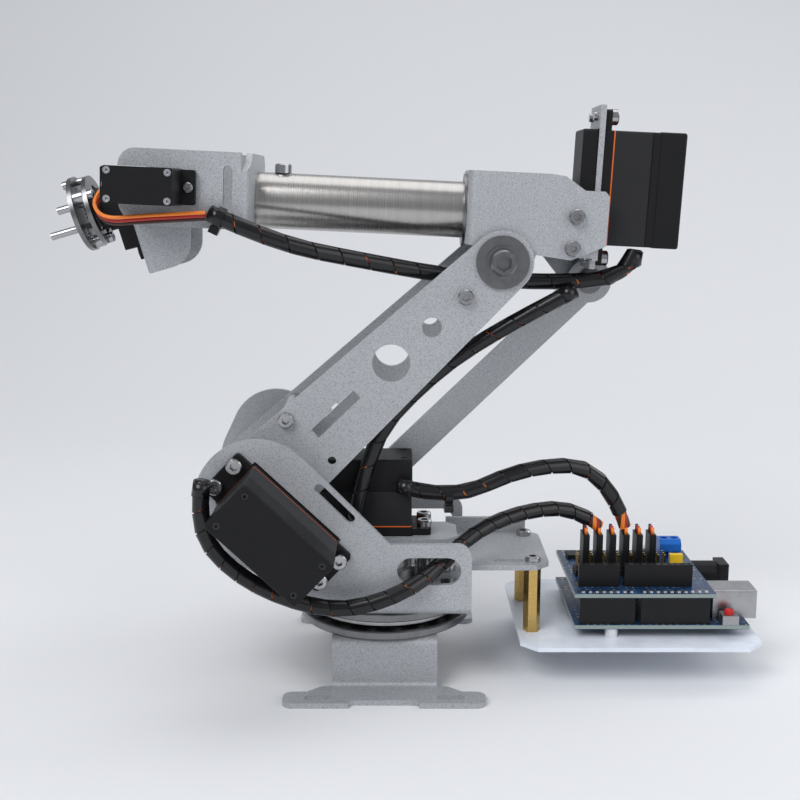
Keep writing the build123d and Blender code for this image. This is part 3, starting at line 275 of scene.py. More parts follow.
class ArmColours(bpy.types.PropertyGroup):
    """Colours that a user would change."""

    paint: colour_setting("Paint", "Sheet metal paint", (0.42, 0.437, 0.46))
    fleck: colour_setting("Fleck", "Pale flecks in the paint", (0.70, 0.715, 0.74))
    case: colour_setting("Case", "Servo case", (0.009, 0.009, 0.010))
    gasket: colour_setting("Gasket", "Line between two servo cases", (0.62, 0.12, 0.02))
    wire: colour_setting("Wire", "Signal wire", (0.85, 0.22, 0.02))
    wrap: colour_setting("Wrap", "Spiral wrap", (0.006, 0.006, 0.007))
    board: colour_setting("Board", "Circuit board", (0.005, 0.030, 0.085))
    acrylic: colour_setting("Tray", "Acrylic tray", (0.74, 0.79, 0.88))


class Wire:
    """A node's output socket that takes part in sums."""

    def __init__(self, bench, socket):
        self.bench = bench
        self.socket = socket

    def sum_with(self, operation, first, second=0.0):
        return self.bench.node(
            "ShaderNodeMath", {"operation": operation}, {0: first, 1: second}
        )

    def __add__(self, other):
        return self.sum_with("ADD", self, other)

    def __radd__(self, other):
        return self.sum_with("ADD", other, self)

    def __sub__(self, other):
        return self.sum_with("SUBTRACT", self, other)

    def __rsub__(self, other):
        return self.sum_with("SUBTRACT", other, self)

    def __mul__(self, other):
        return self.sum_with("MULTIPLY", self, other)

    def __rmul__(self, other):
        return self.sum_with("MULTIPLY", other, self)

    def __truediv__(self, other):
        return self.sum_with("DIVIDE", self, other)

    def __rtruediv__(self, other):
        return self.sum_with("DIVIDE", other, self)

    def __abs__(self):
        return self.sum_with("ABSOLUTE", self)

    def below(self, limit):
        return self.sum_with("LESS_THAN", self, limit)

    def above(self, limit):
        return self.sum_with("GREATER_THAN", self, limit)

    def ramp(self, low, high):
        settings = {"interpolation_type": "SMOOTHSTEP"}
        sockets = {"Value": self, "From Min": low, "From Max": high}
        return self.bench.node("ShaderNodeMapRange", settings, sockets)


class Bench:
    """Adds nodes to one tree, for materials and for geometry alike."""

    def __init__(self, tree):
        self.tree = tree

    def node(self, kind, settings=None, sockets=None, output=0):
        made = self.tree.nodes.new(kind)
        for key, value in (settings or {}).items():
            setattr(made, key, value)
        for key, value in (sockets or {}).items():
            if isinstance(value, Wire):
                self.tree.links.new(value.socket, made.inputs[key])
            else:
                made.inputs[key].default_value = value
        return Wire(self, made.outputs[output]) if len(made.outputs) else made

    def vector(self, operation, first, second=(0.0, 0.0, 0.0), output=0):
        return self.node("ShaderNodeVectorMath", {"operation": operation}, {0: first, 1: second}, output)

    def scaled(self, vector, factor):
        return self.node("ShaderNodeVectorMath", {"operation": "SCALE"}, {0: vector, "Scale": factor})


class Finish(Bench):
    """A material under construction."""

    def __init__(self, name):
        self.material = bpy.data.materials.new(name)
        self.material.use_nodes = True
        super().__init__(self.material.node_tree)
        self.tree.nodes.clear()
        self.place = self.node("ShaderNodeTexCoord", output="Object")

    def noise(self, scale, detail=3.0, roughness=0.5, place=None):
        sockets = {"Vector": place or self.place, "Scale": scale, "Detail": detail, "Roughness": roughness}
        return self.node("ShaderNodeTexNoise", {}, sockets, "Fac")

    def cells(self, scale):
        sockets = {"Vector": self.place, "Scale": scale}
        return self.node("ShaderNodeTexVoronoi", {"feature": "F1"}, sockets, "Distance")

    def along(self, direction, origin=(0.0, 0.0, 0.0)):
        moved = self.vector("SUBTRACT", self.place, tuple(origin))
        return self.vector("DOT_PRODUCT", moved, tuple(direction), "Value")

    def mix(self, factor, first, second):
        colours = [c if isinstance(c, Wire) else (*c[:3], 1.0) for c in (first, second)]
        sockets = {0: factor, 6: colours[0], 7: colours[1]}
        return self.node("ShaderNodeMix", {"data_type": "RGBA"}, sockets, 2)

    def bump(self, height, distance, strength=1.0):
        sockets = {"Height": height, "Distance": distance, "Strength": strength}
        return self.node("ShaderNodeBump", {}, sockets)

    def close(self, base, roughness, metallic=0.0, normal=None, **constants):
        sockets = {"Base Color": base if isinstance(base, Wire) else (*base[:3], 1.0)}
        sockets["Roughness"] = roughness
        sockets["Metallic"] = metallic
        if normal is not None:
            sockets["Normal"] = normal
        sockets.update(constants)
        shader = self.node("ShaderNodeBsdfPrincipled", {}, sockets)
        self.node("ShaderNodeOutputMaterial", {}, {"Surface": shader})
        return self.material


def dress(names, material):
    for name in names:
        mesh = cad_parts[name].data
        mesh.materials.clear()
        mesh.materials.append(material)


def forearm_point(x, y, z):
    turn = Matrix.Rotation(FOREARM_TILT, 4, "Y")
    return ELBOW + turn @ Vector((x, y, z))


def tool_point(x, y, z):
    turn = Matrix.Rotation(TOOL_TILT, 4, "Y")
    return PITCH_AXIS + turn @ Vector((x, y, z))


def servo_frames():
    """Each standard servo's ear seat, long direction, shaft direction and body."""
    lean = Vector((-math.cos(SERVO_LEAN), 0, math.sin(SERVO_LEAN)))
    back = forearm_point(-1, 0, 0) - ELBOW
    down = forearm_point(0, 0, -1) - ELBOW
    return {
        "shoulder_servo": (Vector((SHOULDER.x, -WAIST_FACE, SHOULDER.z)), lean, Vector((0, 1, 0)), "waist"),
        "elbow_servo": (Vector((SHOULDER.x, WAIST_FACE, SHOULDER.z)), lean, Vector((0, -1, 0)), "waist"),
        "waist_servo": (Vector((0, 0, WAIST_SEAT)), Vector((1, 0, 0)), Vector((0, 0, -1)), "waist"),
        "roll_servo": (forearm_point(*ROLL_SEAT), down, back, "forearm"),
    }


def micro_frames():
    """The same for the two small servos."""
    level = forearm_point(1, 0, 0) - ELBOW
    up = tool_point(0, 0, 1) - PITCH_AXIS
    ahead = tool_point(-1, 0, 0) - PITCH_AXIS
    seat = Vector((PITCH_AXIS.x, PITCH_FACE, PITCH_AXIS.z))
    return {
        "pitch_servo": (seat, level, Vector((0, 1, 0)), "wrist"),
        "tool_servo": (tool_point(TOOL_SEAT, 0, 0), up, ahead, "yoke"),
    }


def spot_on(servo, x, y, z):
    origin, along, outward = servo[:3]
    side = outward.cross(along)
    return origin + along * x + side * y + outward * z


def screw_spots(servo, screws, depth):
    """The four corner screws on the back of a case."""
    middle, half_length, half_width = screws
    return [spot_on(servo, middle + half_length * x, half_width * y, depth) for x in (-1, 1) for y in (-1, 1)]


# Finishes

def paint_finish(sizes, colours):
    """Silver-grey hammered paint with pale and dark flecks."""
    work = Finish("hammered_paint")
    grain = 1.0 / sizes.speckle
    flecks = work.cells(grain)
    cloud = work.noise(grain * 0.9, detail=2.0)
    drift = work.noise(35.0, detail=3.0)
    pale = (cloud - flecks * 0.35).ramp(0.36, 0.62)
    deep = (cloud + flecks * 0.3).ramp(0.60, 0.78)
    dark = tuple(value * 0.62 for value in colours.paint)
    base = work.mix(pale * 0.9, colours.paint, colours.fleck)
    base = work.mix(deep * 0.65, base, dark)
    base = work.mix(drift.ramp(0.45, 0.75) * 0.12, base, dark)
    rough = 0.44 + drift * 0.14 - pale * 0.10
    normal = work.bump(cloud + flecks * 0.4, distance=0.00006, strength=0.55)
    return work.close(base, rough, metallic=0.35, normal=normal)


def steel_finish(name, colour, rough, grain):
    """Bare metal with a fine grain, slightly clouded."""
    work = Finish(name)
    fine = work.noise(grain, detail=4.0, roughness=0.65)
    cloud = work.noise(240.0, detail=2.0)
    dull = tuple(value * 0.7 for value in colour)
    base = work.mix(cloud.ramp(0.42, 0.7) * 0.5, colour, dull)
    normal = work.bump(fine, distance=0.00003, strength=0.4)
    return work.close(base, rough + fine * 0.14, metallic=1.0, normal=normal)


def tube_finish():
    """Stainless tube with the fine rings that a lathe and emery leave round it."""
    work = Finish("turned_tube")
    direction = forearm_point(1, 0, 0) - ELBOW
    axial = work.along(direction, ELBOW)
    spot = work.node("ShaderNodeCombineXYZ", {}, {"X": axial, "Y": 0.0, "Z": 0.0})
    fine = work.noise(5200.0, detail=3.0, roughness=0.6, place=spot)
    coarse = work.noise(420.0, detail=3.0, roughness=0.6, place=spot)
    stain = work.noise(60.0, detail=3.0)
    dark_ring = (0.24, 0.23, 0.22)
    bright_ring = (0.68, 0.66, 0.64)
    brownish = (0.42, 0.38, 0.34)
    base = work.mix(fine * 0.55 + coarse * 0.35, dark_ring, bright_ring)
    base = work.mix(stain.ramp(0.5, 0.8) * 0.3, base, brownish)
    normal = work.bump(fine + coarse, distance=0.00003, strength=0.35)
    return work.close(base, 0.20 + fine * 0.16, metallic=1.0, normal=normal)


def servo_finish(name, servo, splits, sizes, colours, gasket):
    """Moulded black case whose parting lines lie across its shaft."""
    work = Finish(name)
    depth = work.along(servo[2], servo[0])
    grain = work.noise(3800.0, detail=2.0)
    cloud = work.noise(90.0, detail=3.0)
    middle = depth.above(splits[0]) * depth.below(splits[-1])
    lighter = tuple(value * 2.1 + 0.003 for value in colours.case)
    base = work.mix(middle, colours.case, lighter)
    worn = tuple(value * 1.6 for value in colours.case)
    base = work.mix(cloud.ramp(0.5, 0.8) * 0.3, base, worn)
    seam = (0.002, 0.002, 0.002)
    height = grain
    for split in splits:
        line = abs(depth - split).below(sizes.gasket / 2)
        shade = colours.gasket if gasket and split == splits[-1] else seam
        base = work.mix(line, base, shade)
        height = height - line * 2.5
    rough = 0.36 + grain * 0.16 - middle * 0.05 + cloud * 0.06
    normal = work.bump(height, distance=0.00003, strength=0.5)
    return work.close(base, rough, normal=normal, **{GLOSS: 0.18})


def plastic_finish(name, colour, rough, grain=3000.0, depth=0.00002):
    """Plain moulded plastic with a faint grain."""
    work = Finish(name)
    fine = work.noise(grain, detail=2.0)
    cloud = work.noise(150.0, detail=3.0)
    dull = tuple(value * 0.7 for value in colour)
    base = work.mix(cloud.ramp(0.4, 0.75) * 0.35, colour, dull)
    normal = work.bump(fine, distance=depth, strength=0.5)
    return work.close(base, rough + fine * 0.12, normal=normal, **{GLOSS: 0.25})


def split_finish(name, mask_of, first, second):
    """Two finishes in one node's mesh, chosen by place. Each is colour, roughness and metallic."""
    work = Finish(name)
    mask = mask_of(work)
    fine = work.noise(2600.0, detail=2.0)
    base = work.mix(mask, first[0], second[0])
    grime = (0.02, 0.02, 0.02)
    shade = work.mix(fine.ramp(0.35, 0.8) * 0.25, base, grime)
    rough = first[1] + mask * (second[1] - first[1]) + fine * 0.08
    metal = first[2] + mask * (second[2] - first[2])
    normal = work.bump(fine, distance=0.00002, strength=0.4)
    return work.close(shade, rough, metallic=metal, normal=normal, **{GLOSS: 0.25})


def board_finish(colours):
    """Solder mask over copper: square tracks, a grid of small vias and a paler edge."""
    work = Finish("solder_mask")
    track_grid = 0.0016
    rim_margin = 0.0001
    tinned_copper = (0.62, 0.55, 0.36)
    bare_laminate = (0.30, 0.36, 0.32)
    settings = {"feature": "DISTANCE_TO_EDGE"}
    stepped = work.node("ShaderNodeVectorMath", {"operation": "SNAP"}, {0: work.place, 1: (track_grid,) * 3})
    tracks = work.node("ShaderNodeTexVoronoi", settings, {"Vector": stepped, "Scale": 150.0}, "Distance")
    track = tracks.below(0.06)
    apart = work.vector("FRACTION", work.scaled(work.place, 1 / PIN_PITCH))
    centred = work.vector("SUBTRACT", apart, (0.5, 0.5, 0.0))
    flat = work.vector("MULTIPLY", centred, (1.0, 1.0, 0.0))
    via = work.vector("LENGTH", flat, output="Value").below(0.17)
    cloud = work.noise(220.0, detail=2.0).ramp(0.46, 0.54)
    raised = tuple(min(1.0, value * 1.9 + 0.01) for value in colours.board)
    base = work.mix(track * 0.75, colours.board, raised)
    base = work.mix(via * cloud, base, tinned_copper)
    height = work.along((0.0, 0.0, 1.0))
    for top in (BOARD_TOP, SHIELD_TOP):
        middle = top - BOARD_THICKNESS / 2
        rim = abs(height - middle).below(BOARD_THICKNESS / 2 - rim_margin)
        base = work.mix(rim * 0.8, base, bare_laminate)
    normal = work.bump(track + via * cloud, distance=0.00004, strength=0.6)
    return work.close(base, 0.28 + cloud * 0.08, metallic=via * cloud * 0.8, normal=normal)


def wire_finish(name, colour):
    """Soft insulation of a single wire."""
    work = Finish(name)
    fine = work.noise(1800.0, detail=2.0)
    dull = tuple(value * 0.6 for value in colour)
    base = work.mix(fine.ramp(0.4, 0.8) * 0.3, colour, dull)
    normal = work.bump(fine, distance=0.00002, strength=0.3)
    return work.close(base, 0.38 + fine * 0.1, normal=normal)


def bundle_finish(colours):
    """Servo leads: near black as painted shade under the wrap, with the wires' own colours showing here and
    there, and bare just above the plugs.
    """
    work = Finish("lead_bundle")
    across = work.along((1.0, 0.0, 0.0))
    fraction = {"operation": "FRACT"}
    share = work.node("ShaderNodeMath", fraction, {0: across / STRANDS})
    ridge = abs(work.node("ShaderNodeMath", fraction, {0: across * (3.0 / STRANDS)}) - 0.5)
    glint = work.noise(130.0, detail=2.0).ramp(0.55, 0.59)
    low = work.along((0.0, 0.0, 1.0)).below(STRANDS_BARE_BELOW)
    bare = across.above(STRANDS_BARE_FROM) * low
    fine = work.noise(1800.0, detail=2.0)
    red_strand = (0.32, 0.018, 0.012)
    brown_strand = (0.05, 0.02, 0.012)
    # Painted shade: near black stands for the wires that lie in the wrap's shadow
    shadow = (0.008, 0.007, 0.007)
    lead = work.mix(share.above(0.4), colours.wire, red_strand)
    lead = work.mix(share.above(0.7), lead, brown_strand)
    # The wires' own colours show only in the glint patches and the bare ends; elsewhere they get the painted
    # shade
    base = work.mix(glint + bare, shadow, lead)
    normal = work.bump(ridge * -1.0, distance=0.0006, strength=0.6)
    return work.close(base, 0.36 + fine * 0.1, normal=normal)


def wrap_finish(colours):
    """Glossy black band with worn places."""
    work = Finish("spiral_wrap")
    fine = work.noise(2200.0, detail=3.0)
    cloud = work.noise(130.0, detail=2.0)
    worn = tuple(value * 1.8 + 0.003 for value in colours.wrap)
    base = work.mix(cloud.ramp(0.5, 0.75) * 0.4, colours.wrap, worn)
    rough = 0.17 + cloud * 0.10 + fine * 0.05
    normal = work.bump(fine, distance=0.00002, strength=0.4)
    return work.close(base, rough, normal=normal, **{GLOSS: 0.42})


def floor_finish():
    work = Finish("pale_floor")
    cloud = work.noise(3.0, detail=3.0)
    pale = (0.74, 0.75, 0.77)
    darker = (0.69, 0.70, 0.72)
    base = work.mix(cloud * 0.25, pale, darker)
    return work.close(base, roughness=0.85)


# Making pieces

def follow(piece, body):
    """Moves a piece with one body; a piece given a joint's bend instead is only baked where it lies."""
    if isinstance(body, str):
        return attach(piece, body)
    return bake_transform(piece)


def add_object(name, data):
    made = bpy.data.objects.new(name, data)
    bpy.context.scene.collection.objects.link(made)
    return made


def mesh_piece(name, bm, material, body, smooth=True):
    mesh = bpy.data.meshes.new(name)
    bmesh.ops.recalc_face_normals(bm, faces=bm.faces[:])
    bm.to_mesh(mesh)
    bm.free()
    mesh.materials.append(material)
    for face in mesh.polygons:
        face.use_smooth = smooth
    piece = add_object(name, mesh)
    follow(piece, body)
    return piece


def blocks(items):
    """One mesh of small chamfered blocks, each given as its lowest and highest corner."""
    bm = bmesh.new()
    for low, high in items:
        size = [b - a for a, b in zip(low, high)]
        middle = [(a + b) / 2 for a, b in zip(low, high)]
        place = Matrix.Translation(middle) @ Matrix.Diagonal((*size, 1.0))
        made = bmesh.ops.create_cube(bm, size=1.0, matrix=place)["verts"]
        edges = list({e for v in made for e in v.link_edges})
        offset = min(BLOCK_EDGE, min(size) * BLOCK_SHARE)
        bmesh.ops.bevel(bm, geom=edges, offset=offset, segments=2, affect="EDGES")
    return bm


def drums(items, sides=24):
    """One mesh of upright drums with softened tops, each given as x, y, z, radius, height."""
    bm = bmesh.new()
    for x, y, z, radius, height in items:
        place = Matrix.Translation((x, y, z + height / 2))
        made = bmesh.ops.create_cone(
            bm, cap_ends=True, segments=sides, radius1=radius, radius2=radius, depth=height, matrix=place
        )["verts"]
        edges = {e for v in made for e in v.link_edges}
        rim = [e for e in edges if all(abs(v.co.z - z - height) < SAME_PLACE for v in e.verts)]
        bmesh.ops.bevel(bm, geom=rim, offset=radius * DRUM_ROUNDING, segments=3, affect="EDGES")
    return bm


def route_curve(name, route):
    data = bpy.data.curves.new(name, "CURVE")
    data.dimensions = "3D"
    spline = data.splines.new("NURBS")
    spline.points.add(len(route) - 1)
    for point, spot in zip(spline.points, route):
        point.co = (*spot, 1.0)
    spline.order_u = 3
    spline.use_endpoint_u = True
    spline.resolution_u = 16
    return data


def finished_mesh(item):
    """The mesh that a curve or a modified object ends up as."""
    bpy.context.view_layer.update()
    ready = item.evaluated_get(bpy.context.evaluated_depsgraph_get())
    return bpy.data.meshes.new_from_object(ready)


def route_points(route):
    """Places along a route's curve, close together."""
    guide = add_object("guide", route_curve("guide", route))
    places = [tuple(vertex.co) for vertex in finished_mesh(guide).vertices]
    bpy.data.objects.remove(guide)
    return places


def cord_piece(name, route, radius, material, body, node):
    data = route_curve(name, route)
    data.bevel_depth = radius
    data.bevel_resolution = 5
    data.use_fill_caps = True
    data.materials.append(material)
    piece = add_object(name, data)
    if not isinstance(body, str):
        mesh = finished_mesh(piece)
        bpy.data.objects.remove(piece)
        piece = add_object(name, mesh)
    follow(piece, body)
    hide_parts(node)
    return piece


def tree_of(name, inputs):
    tree = bpy.data.node_groups.new(name, "GeometryNodeTree")
    tree.interface.new_socket("Geometry", in_out="INPUT", socket_type="NodeSocketGeometry")
    for label, kind in inputs:
        tree.interface.new_socket(label, in_out="INPUT", socket_type=kind)
    tree.interface.new_socket("Geometry", in_out="OUTPUT", socket_type="NodeSocketGeometry")
    bench = Bench(tree)
    source = tree.nodes.new("NodeGroupInput")
    taken = {socket.name: Wire(bench, socket) for socket in source.outputs if socket.name}
    return tree, bench, taken


def close_tree(bench, geometry, material):
    real = bench.node("GeometryNodeRealizeInstances", {}, {0: geometry})
    done = bench.node("GeometryNodeSetMaterial", {}, {"Geometry": real, "Material": material})
    bench.node("NodeGroupOutput", {}, {0: done})


def wrap_tree():
    """A flat band wound round a curve at an even pitch."""
    labels = ("Radius", "Thickness", "Pitch", "Band", "Bare end")
    inputs = [(label, "NodeSocketFloat") for label in labels] + [("Material", "NodeSocketMaterial")]
    tree, bench, taken = tree_of("spiral band", inputs)
    length = bench.node("GeometryNodeCurveLength", {}, {0: taken["Geometry"]}) - taken["Bare end"]
    span = length + taken["Pitch"]
    turns = span / taken["Pitch"]
    sockets = {"Size X": 1.0, "Size Y": 1.0, "Vertices X": turns * WRAP_STEPS, "Vertices Y": WRAP_ROWS}
    grid = bench.node("GeometryNodeMeshGrid", {}, sockets, "Mesh")
    spot = bench.node("GeometryNodeInputPosition")
    x = bench.node("ShaderNodeSeparateXYZ", {}, {0: spot}, "X") + 0.5
    y = (bench.node("ShaderNodeSeparateXYZ", {}, {0: spot}, "Y") + 0.5) * (WRAP_ROWS - 1.0)
    # The grid's five rows go round the band's section: early and late edge outside, late and
    # early edge inside, and back to the first row, where they are merged
    late = abs(y - 1.5).below(1.0)
    inner = abs(y - 2.5).below(1.0)
    radius = taken["Radius"] - inner * taken["Thickness"]
    reached = x * span - taken["Pitch"] + late * taken["Band"]
    travel = bench.node("ShaderNodeMath", {"operation": "MINIMUM"}, {0: reached, 1: length})
    travel = bench.node("ShaderNodeMath", {"operation": "MAXIMUM"}, {0: travel, 1: 0.0})
    angle = x * turns * (2 * math.pi)
    settings = {"mode": "LENGTH"}
    sample = {"Curves": taken["Geometry"], "Length": travel}
    point = bench.node("GeometryNodeSampleCurve", settings, sample, "Position")
    made = point.socket.node
    tangent = Wire(bench, made.outputs["Tangent"])
    normal = Wire(bench, made.outputs["Normal"])
    side = bench.vector("CROSS_PRODUCT", tangent, normal)
    cosine = bench.node("ShaderNodeMath", {"operation": "COSINE"}, {0: angle})
    sine = bench.node("ShaderNodeMath", {"operation": "SINE"}, {0: angle})
    out = bench.vector("ADD", bench.scaled(normal, cosine), bench.scaled(side, sine))
    place = bench.vector("ADD", point, bench.scaled(out, radius))
    moved = bench.node("GeometryNodeSetPosition", {}, {"Geometry": grid, "Position": place})
    merged = bench.node("GeometryNodeMergeByDistance", {}, {"Geometry": moved, "Distance": WELD})
    close_tree(bench, merged, taken["Material"])
    return tree


def screw_tree():
    """A low round head with a cross recess at every point, turned along the point's own direction."""
    inputs = [("Radius", "NodeSocketFloat"), ("Height", "NodeSocketFloat")]
    inputs.append(("Material", "NodeSocketMaterial"))
    tree, bench, taken = tree_of("cross recess heads", inputs)
    sockets = {"Vertices": 24, "Radius": taken["Radius"], "Depth": taken["Height"]}
    drum = bench.node("GeometryNodeMeshCylinder", {}, sockets, "Mesh")
    long = taken["Radius"] * RECESS_LENGTH
    thin = taken["Radius"] * RECESS_WIDTH
    deep = taken["Height"] * RECESS_DEPTH
    lift = bench.node("ShaderNodeCombineXYZ", {}, {"X": 0.0, "Y": 0.0, "Z": deep * 0.5})
    for sides in ((long, thin, deep), (thin, long, deep)):
        size = bench.node("ShaderNodeCombineXYZ", {}, dict(zip("XYZ", sides)))
        bar = bench.node("GeometryNodeMeshCube", {}, {"Size": size}, "Mesh")
        raised = bench.node("GeometryNodeTransform", {}, {"Geometry": bar, "Translation": lift})
        sockets = {"Mesh 1": drum, "Mesh 2": raised}
        drum = bench.node("GeometryNodeMeshBoolean", {"operation": "DIFFERENCE"}, sockets)
    facing = bench.node("GeometryNodeInputNamedAttribute", {"data_type": "FLOAT_VECTOR"}, {"Name": "facing"})
    turn = bench.node("FunctionNodeAlignRotationToVector", {"axis": "Z"}, {"Vector": facing})
    points = bench.node("GeometryNodeMeshToPoints", {}, {"Mesh": taken["Geometry"]})
    sockets = {"Points": points, "Instance": drum, "Rotation": turn}
    heads = bench.node("GeometryNodeInstanceOnPoints", {}, sockets)
    close_tree(bench, heads, taken["Material"])
    return tree


def block_tree():
    """A small block at every point, as large as the point's own size."""
    tree, bench, taken = tree_of("small blocks", [("Material", "NodeSocketMaterial")])
    cube = bench.node("GeometryNodeMeshCube", {}, {"Size": (1.0, 1.0, 1.0)}, "Mesh")
    size = bench.node("GeometryNodeInputNamedAttribute", {"data_type": "FLOAT_VECTOR"}, {"Name": "size"})
    points = bench.node("GeometryNodeMeshToPoints", {}, {"Mesh": taken["Geometry"]})
    sockets = {"Points": points, "Instance": cube, "Scale": size}
    close_tree(bench, bench.node("GeometryNodeInstanceOnPoints", {}, sockets), taken["Material"])
    return tree


def point_host(name, spots, label, vectors):
    """Loose points that each carry one vector, for a geometry tree to grow on."""
    mesh = bpy.data.meshes.new(name)
    mesh.from_pydata([tuple(spot) for spot in spots], [], [])
    layer = mesh.attributes.new(label, "FLOAT_VECTOR", "POINT")
    for item, vector in zip(layer.data, vectors):
        item.vector = tuple(vector)
    return add_object(name, mesh)


def small_blocks(name, groups, tree, material):
    """Blocks of the controller, given as groups of one size with the middles of their undersides."""
    spots = []
    sizes = []
    for size, places in groups:
        spots += [(x, y, z + size[2] / 2) for x, y, z in places]
        sizes += [size] * len(places)
    host = point_host(name + "_spots", spots, "size", sizes)
    return grown(host, tree, {"Material": material}, name, "waist", False)


def grown(host, tree, values, name, body, smooth):
    """Runs a geometry tree on a host object and keeps its result as a plain mesh piece."""
    modifier = host.modifiers.new("grow", "NODES")
    modifier.node_group = tree
    for item in tree.interface.items_tree:
        if item.in_out == "INPUT" and item.name in values:
            modifier[item.identifier] = values[item.name]
    mesh = finished_mesh(host)
    host.modifiers.remove(modifier)
    bpy.data.objects.remove(host)
    if not mesh.polygons:
        raise RuntimeError(name + " came out empty")
    mesh.name = name
    for face in mesh.polygons:
        face.use_smooth = smooth
    mesh.set_sharp_from_angle(angle=SHARP_ANGLE)
    if not mesh.materials:
        mesh.materials.append(values["Material"])
    piece = add_object(name, mesh)
    follow(piece, body)
    return piece


def wrap_piece(name, route, sizes, pitch, bare, tree, material, body):
    host = add_object(name + "_path", route_curve(name + "_path", route))
    values = {
        "Radius": sizes.wrap_radius, "Thickness": sizes.wrap_thickness, "Pitch": pitch,
        "Band": pitch * sizes.wrap_band, "Bare end": bare, "Material": material,
    }
    return grown(host, tree, values, name, body, True)


def sleeve_piece(name, end, before, reach, radius, material, body):
    """A closed sleeve pushed over a cable's end, or a boot where it enters a case."""
    direction = (Vector(end) - Vector(before)).normalized()
    centre = Vector(end) - direction * (reach / 2 - SLEEVE_OVERHANG)
    place = Matrix.Translation(centre) @ direction.to_track_quat("Z", "Y").to_matrix().to_4x4()
    bm = bmesh.new()
    bmesh.ops.create_cone(
        bm, cap_ends=True, segments=SLEEVE_SIDES, radius1=radius, radius2=radius * SLEEVE_TAPER,
        depth=reach, matrix=place
    )
    caps = [face for face in bm.faces if len(face.verts) > 4]
    rims = list({edge for face in caps for edge in face.edges})
    bmesh.ops.bevel(bm, geom=rims, offset=radius * SLEEVE_ROUNDING, segments=3, affect="EDGES")
    return mesh_piece(name, bm, material, body, True)


def screw_heads(name, spots, servo, radius, tree, material):
    """Screw heads on the back of a servo's case, facing away from its shaft."""
    outward, body = servo[2:]
    host = point_host(name + "_spots", spots, "facing", [-outward] * len(spots))
    values = {"Radius": radius, "Height": HEAD_HEIGHT, "Material": material}
    return grown(host, tree, values, name, body, False)


def tie_piece(name, centre, direction, material, body):
    """A cable tie pulled tight round a wrapped cable, with its square lock."""
    bm = bmesh.new()
    place = Matrix.Translation(centre) @ Vector(direction).to_track_quat("Z", "Y").to_matrix().to_4x4()
    section = [
        (TIE_INSIDE, -TIE_HALF_WIDTH), (TIE_OUTSIDE, -TIE_HALF_WIDTH),
        (TIE_OUTSIDE, TIE_HALF_WIDTH), (TIE_INSIDE, TIE_HALF_WIDTH),
    ]
    rings = []
    for radius, lift in section:
        ring = []
        for step in range(TIE_SIDES):
            angle = 2 * math.pi * step / TIE_SIDES
            spot = Vector((radius * math.cos(angle), radius * math.sin(angle), lift))
            ring.append(bm.verts.new(place @ spot))
        rings.append(ring)
    for first, second in zip(rings, rings[1:] + rings[:1]):
        for step in range(TIE_SIDES):
            after = (step + 1) % TIE_SIDES
            bm.faces.new((first[step], first[after], second[after], second[step]))
    lock = place @ Matrix.Translation((0.0, -LOCK_OUT, 0.0)) @ Matrix.Diagonal((*LOCK_SIZE, 1.0))
    bmesh.ops.create_cube(bm, size=1.0, matrix=lock)
    return mesh_piece(name, bm, material, body, False)


# Operators

class ArmStage(bpy.types.Operator):
    """Put the arm on a pale floor in soft light, before a camera."""

    bl_idname = "arm.stage"
    bl_label = "Stage"

    def execute(self, context):
        context.scene.view_settings.view_transform = "Standard"
        self.floor()
        self.lamps()
        data = bpy.data.cameras.new("camera")
        data.lens = LENS
        data.sensor_width = SENSOR_WIDTH
        data.sensor_fit = "HORIZONTAL"
        data.clip_start = 0.01
        camera = add_object("camera", data)
        camera.location = CAMERA_SPOT
        camera.rotation_euler = (math.radians(90 - CAMERA_DIP), 0.0, 0.0)
        context.scene.camera = camera
        return {"FINISHED"}

    def floor(self):
        """A floor that curves up into a wall behind the arm."""
        corner = WALL_PLACE - CORNER_RADIUS
        profile = [(FLOOR_FRONT, 0.0), (corner, 0.0)]
        for step in range(1, CORNER_STEPS + 1):
            angle = math.radians(90 * step / CORNER_STEPS)
            out = corner + CORNER_RADIUS * math.sin(angle)
            profile.append((out, CORNER_RADIUS - CORNER_RADIUS * math.cos(angle)))
        profile.append((WALL_PLACE, WALL_HEIGHT))
        mesh = bpy.data.meshes.new("floor")
        spots = [(side * FLOOR_HALF_WIDTH, y, z) for y, z in profile for side in (-1, 1)]
        faces = [(2 * n, 2 * n + 1, 2 * n + 3, 2 * n + 2) for n in range(len(profile) - 1)]
        mesh.from_pydata(spots, [], faces)
        for face in mesh.polygons:
            face.use_smooth = True
        mesh.materials.append(floor_finish())
        add_object("floor", mesh)

    def lamps(self):
        world = bpy.data.worlds.new("studio")
        bpy.context.scene.world = world
        world.use_nodes = True
        sky = world.node_tree.nodes["Background"]
        sky.inputs["Color"].default_value = SKY
        sky.inputs["Strength"].default_value = SKY_STRENGTH
        aim = Vector(LAMP_AIM)
        for name, spot, size, power in LAMPS:
            data = bpy.data.lights.new(name, "AREA")
            data.size = size
            data.energy = power
            lamp = add_object(name, data)
            lamp.location = spot
            lamp.rotation_euler = (aim - Vector(spot)).to_track_quat("-Z", "Y").to_euler()


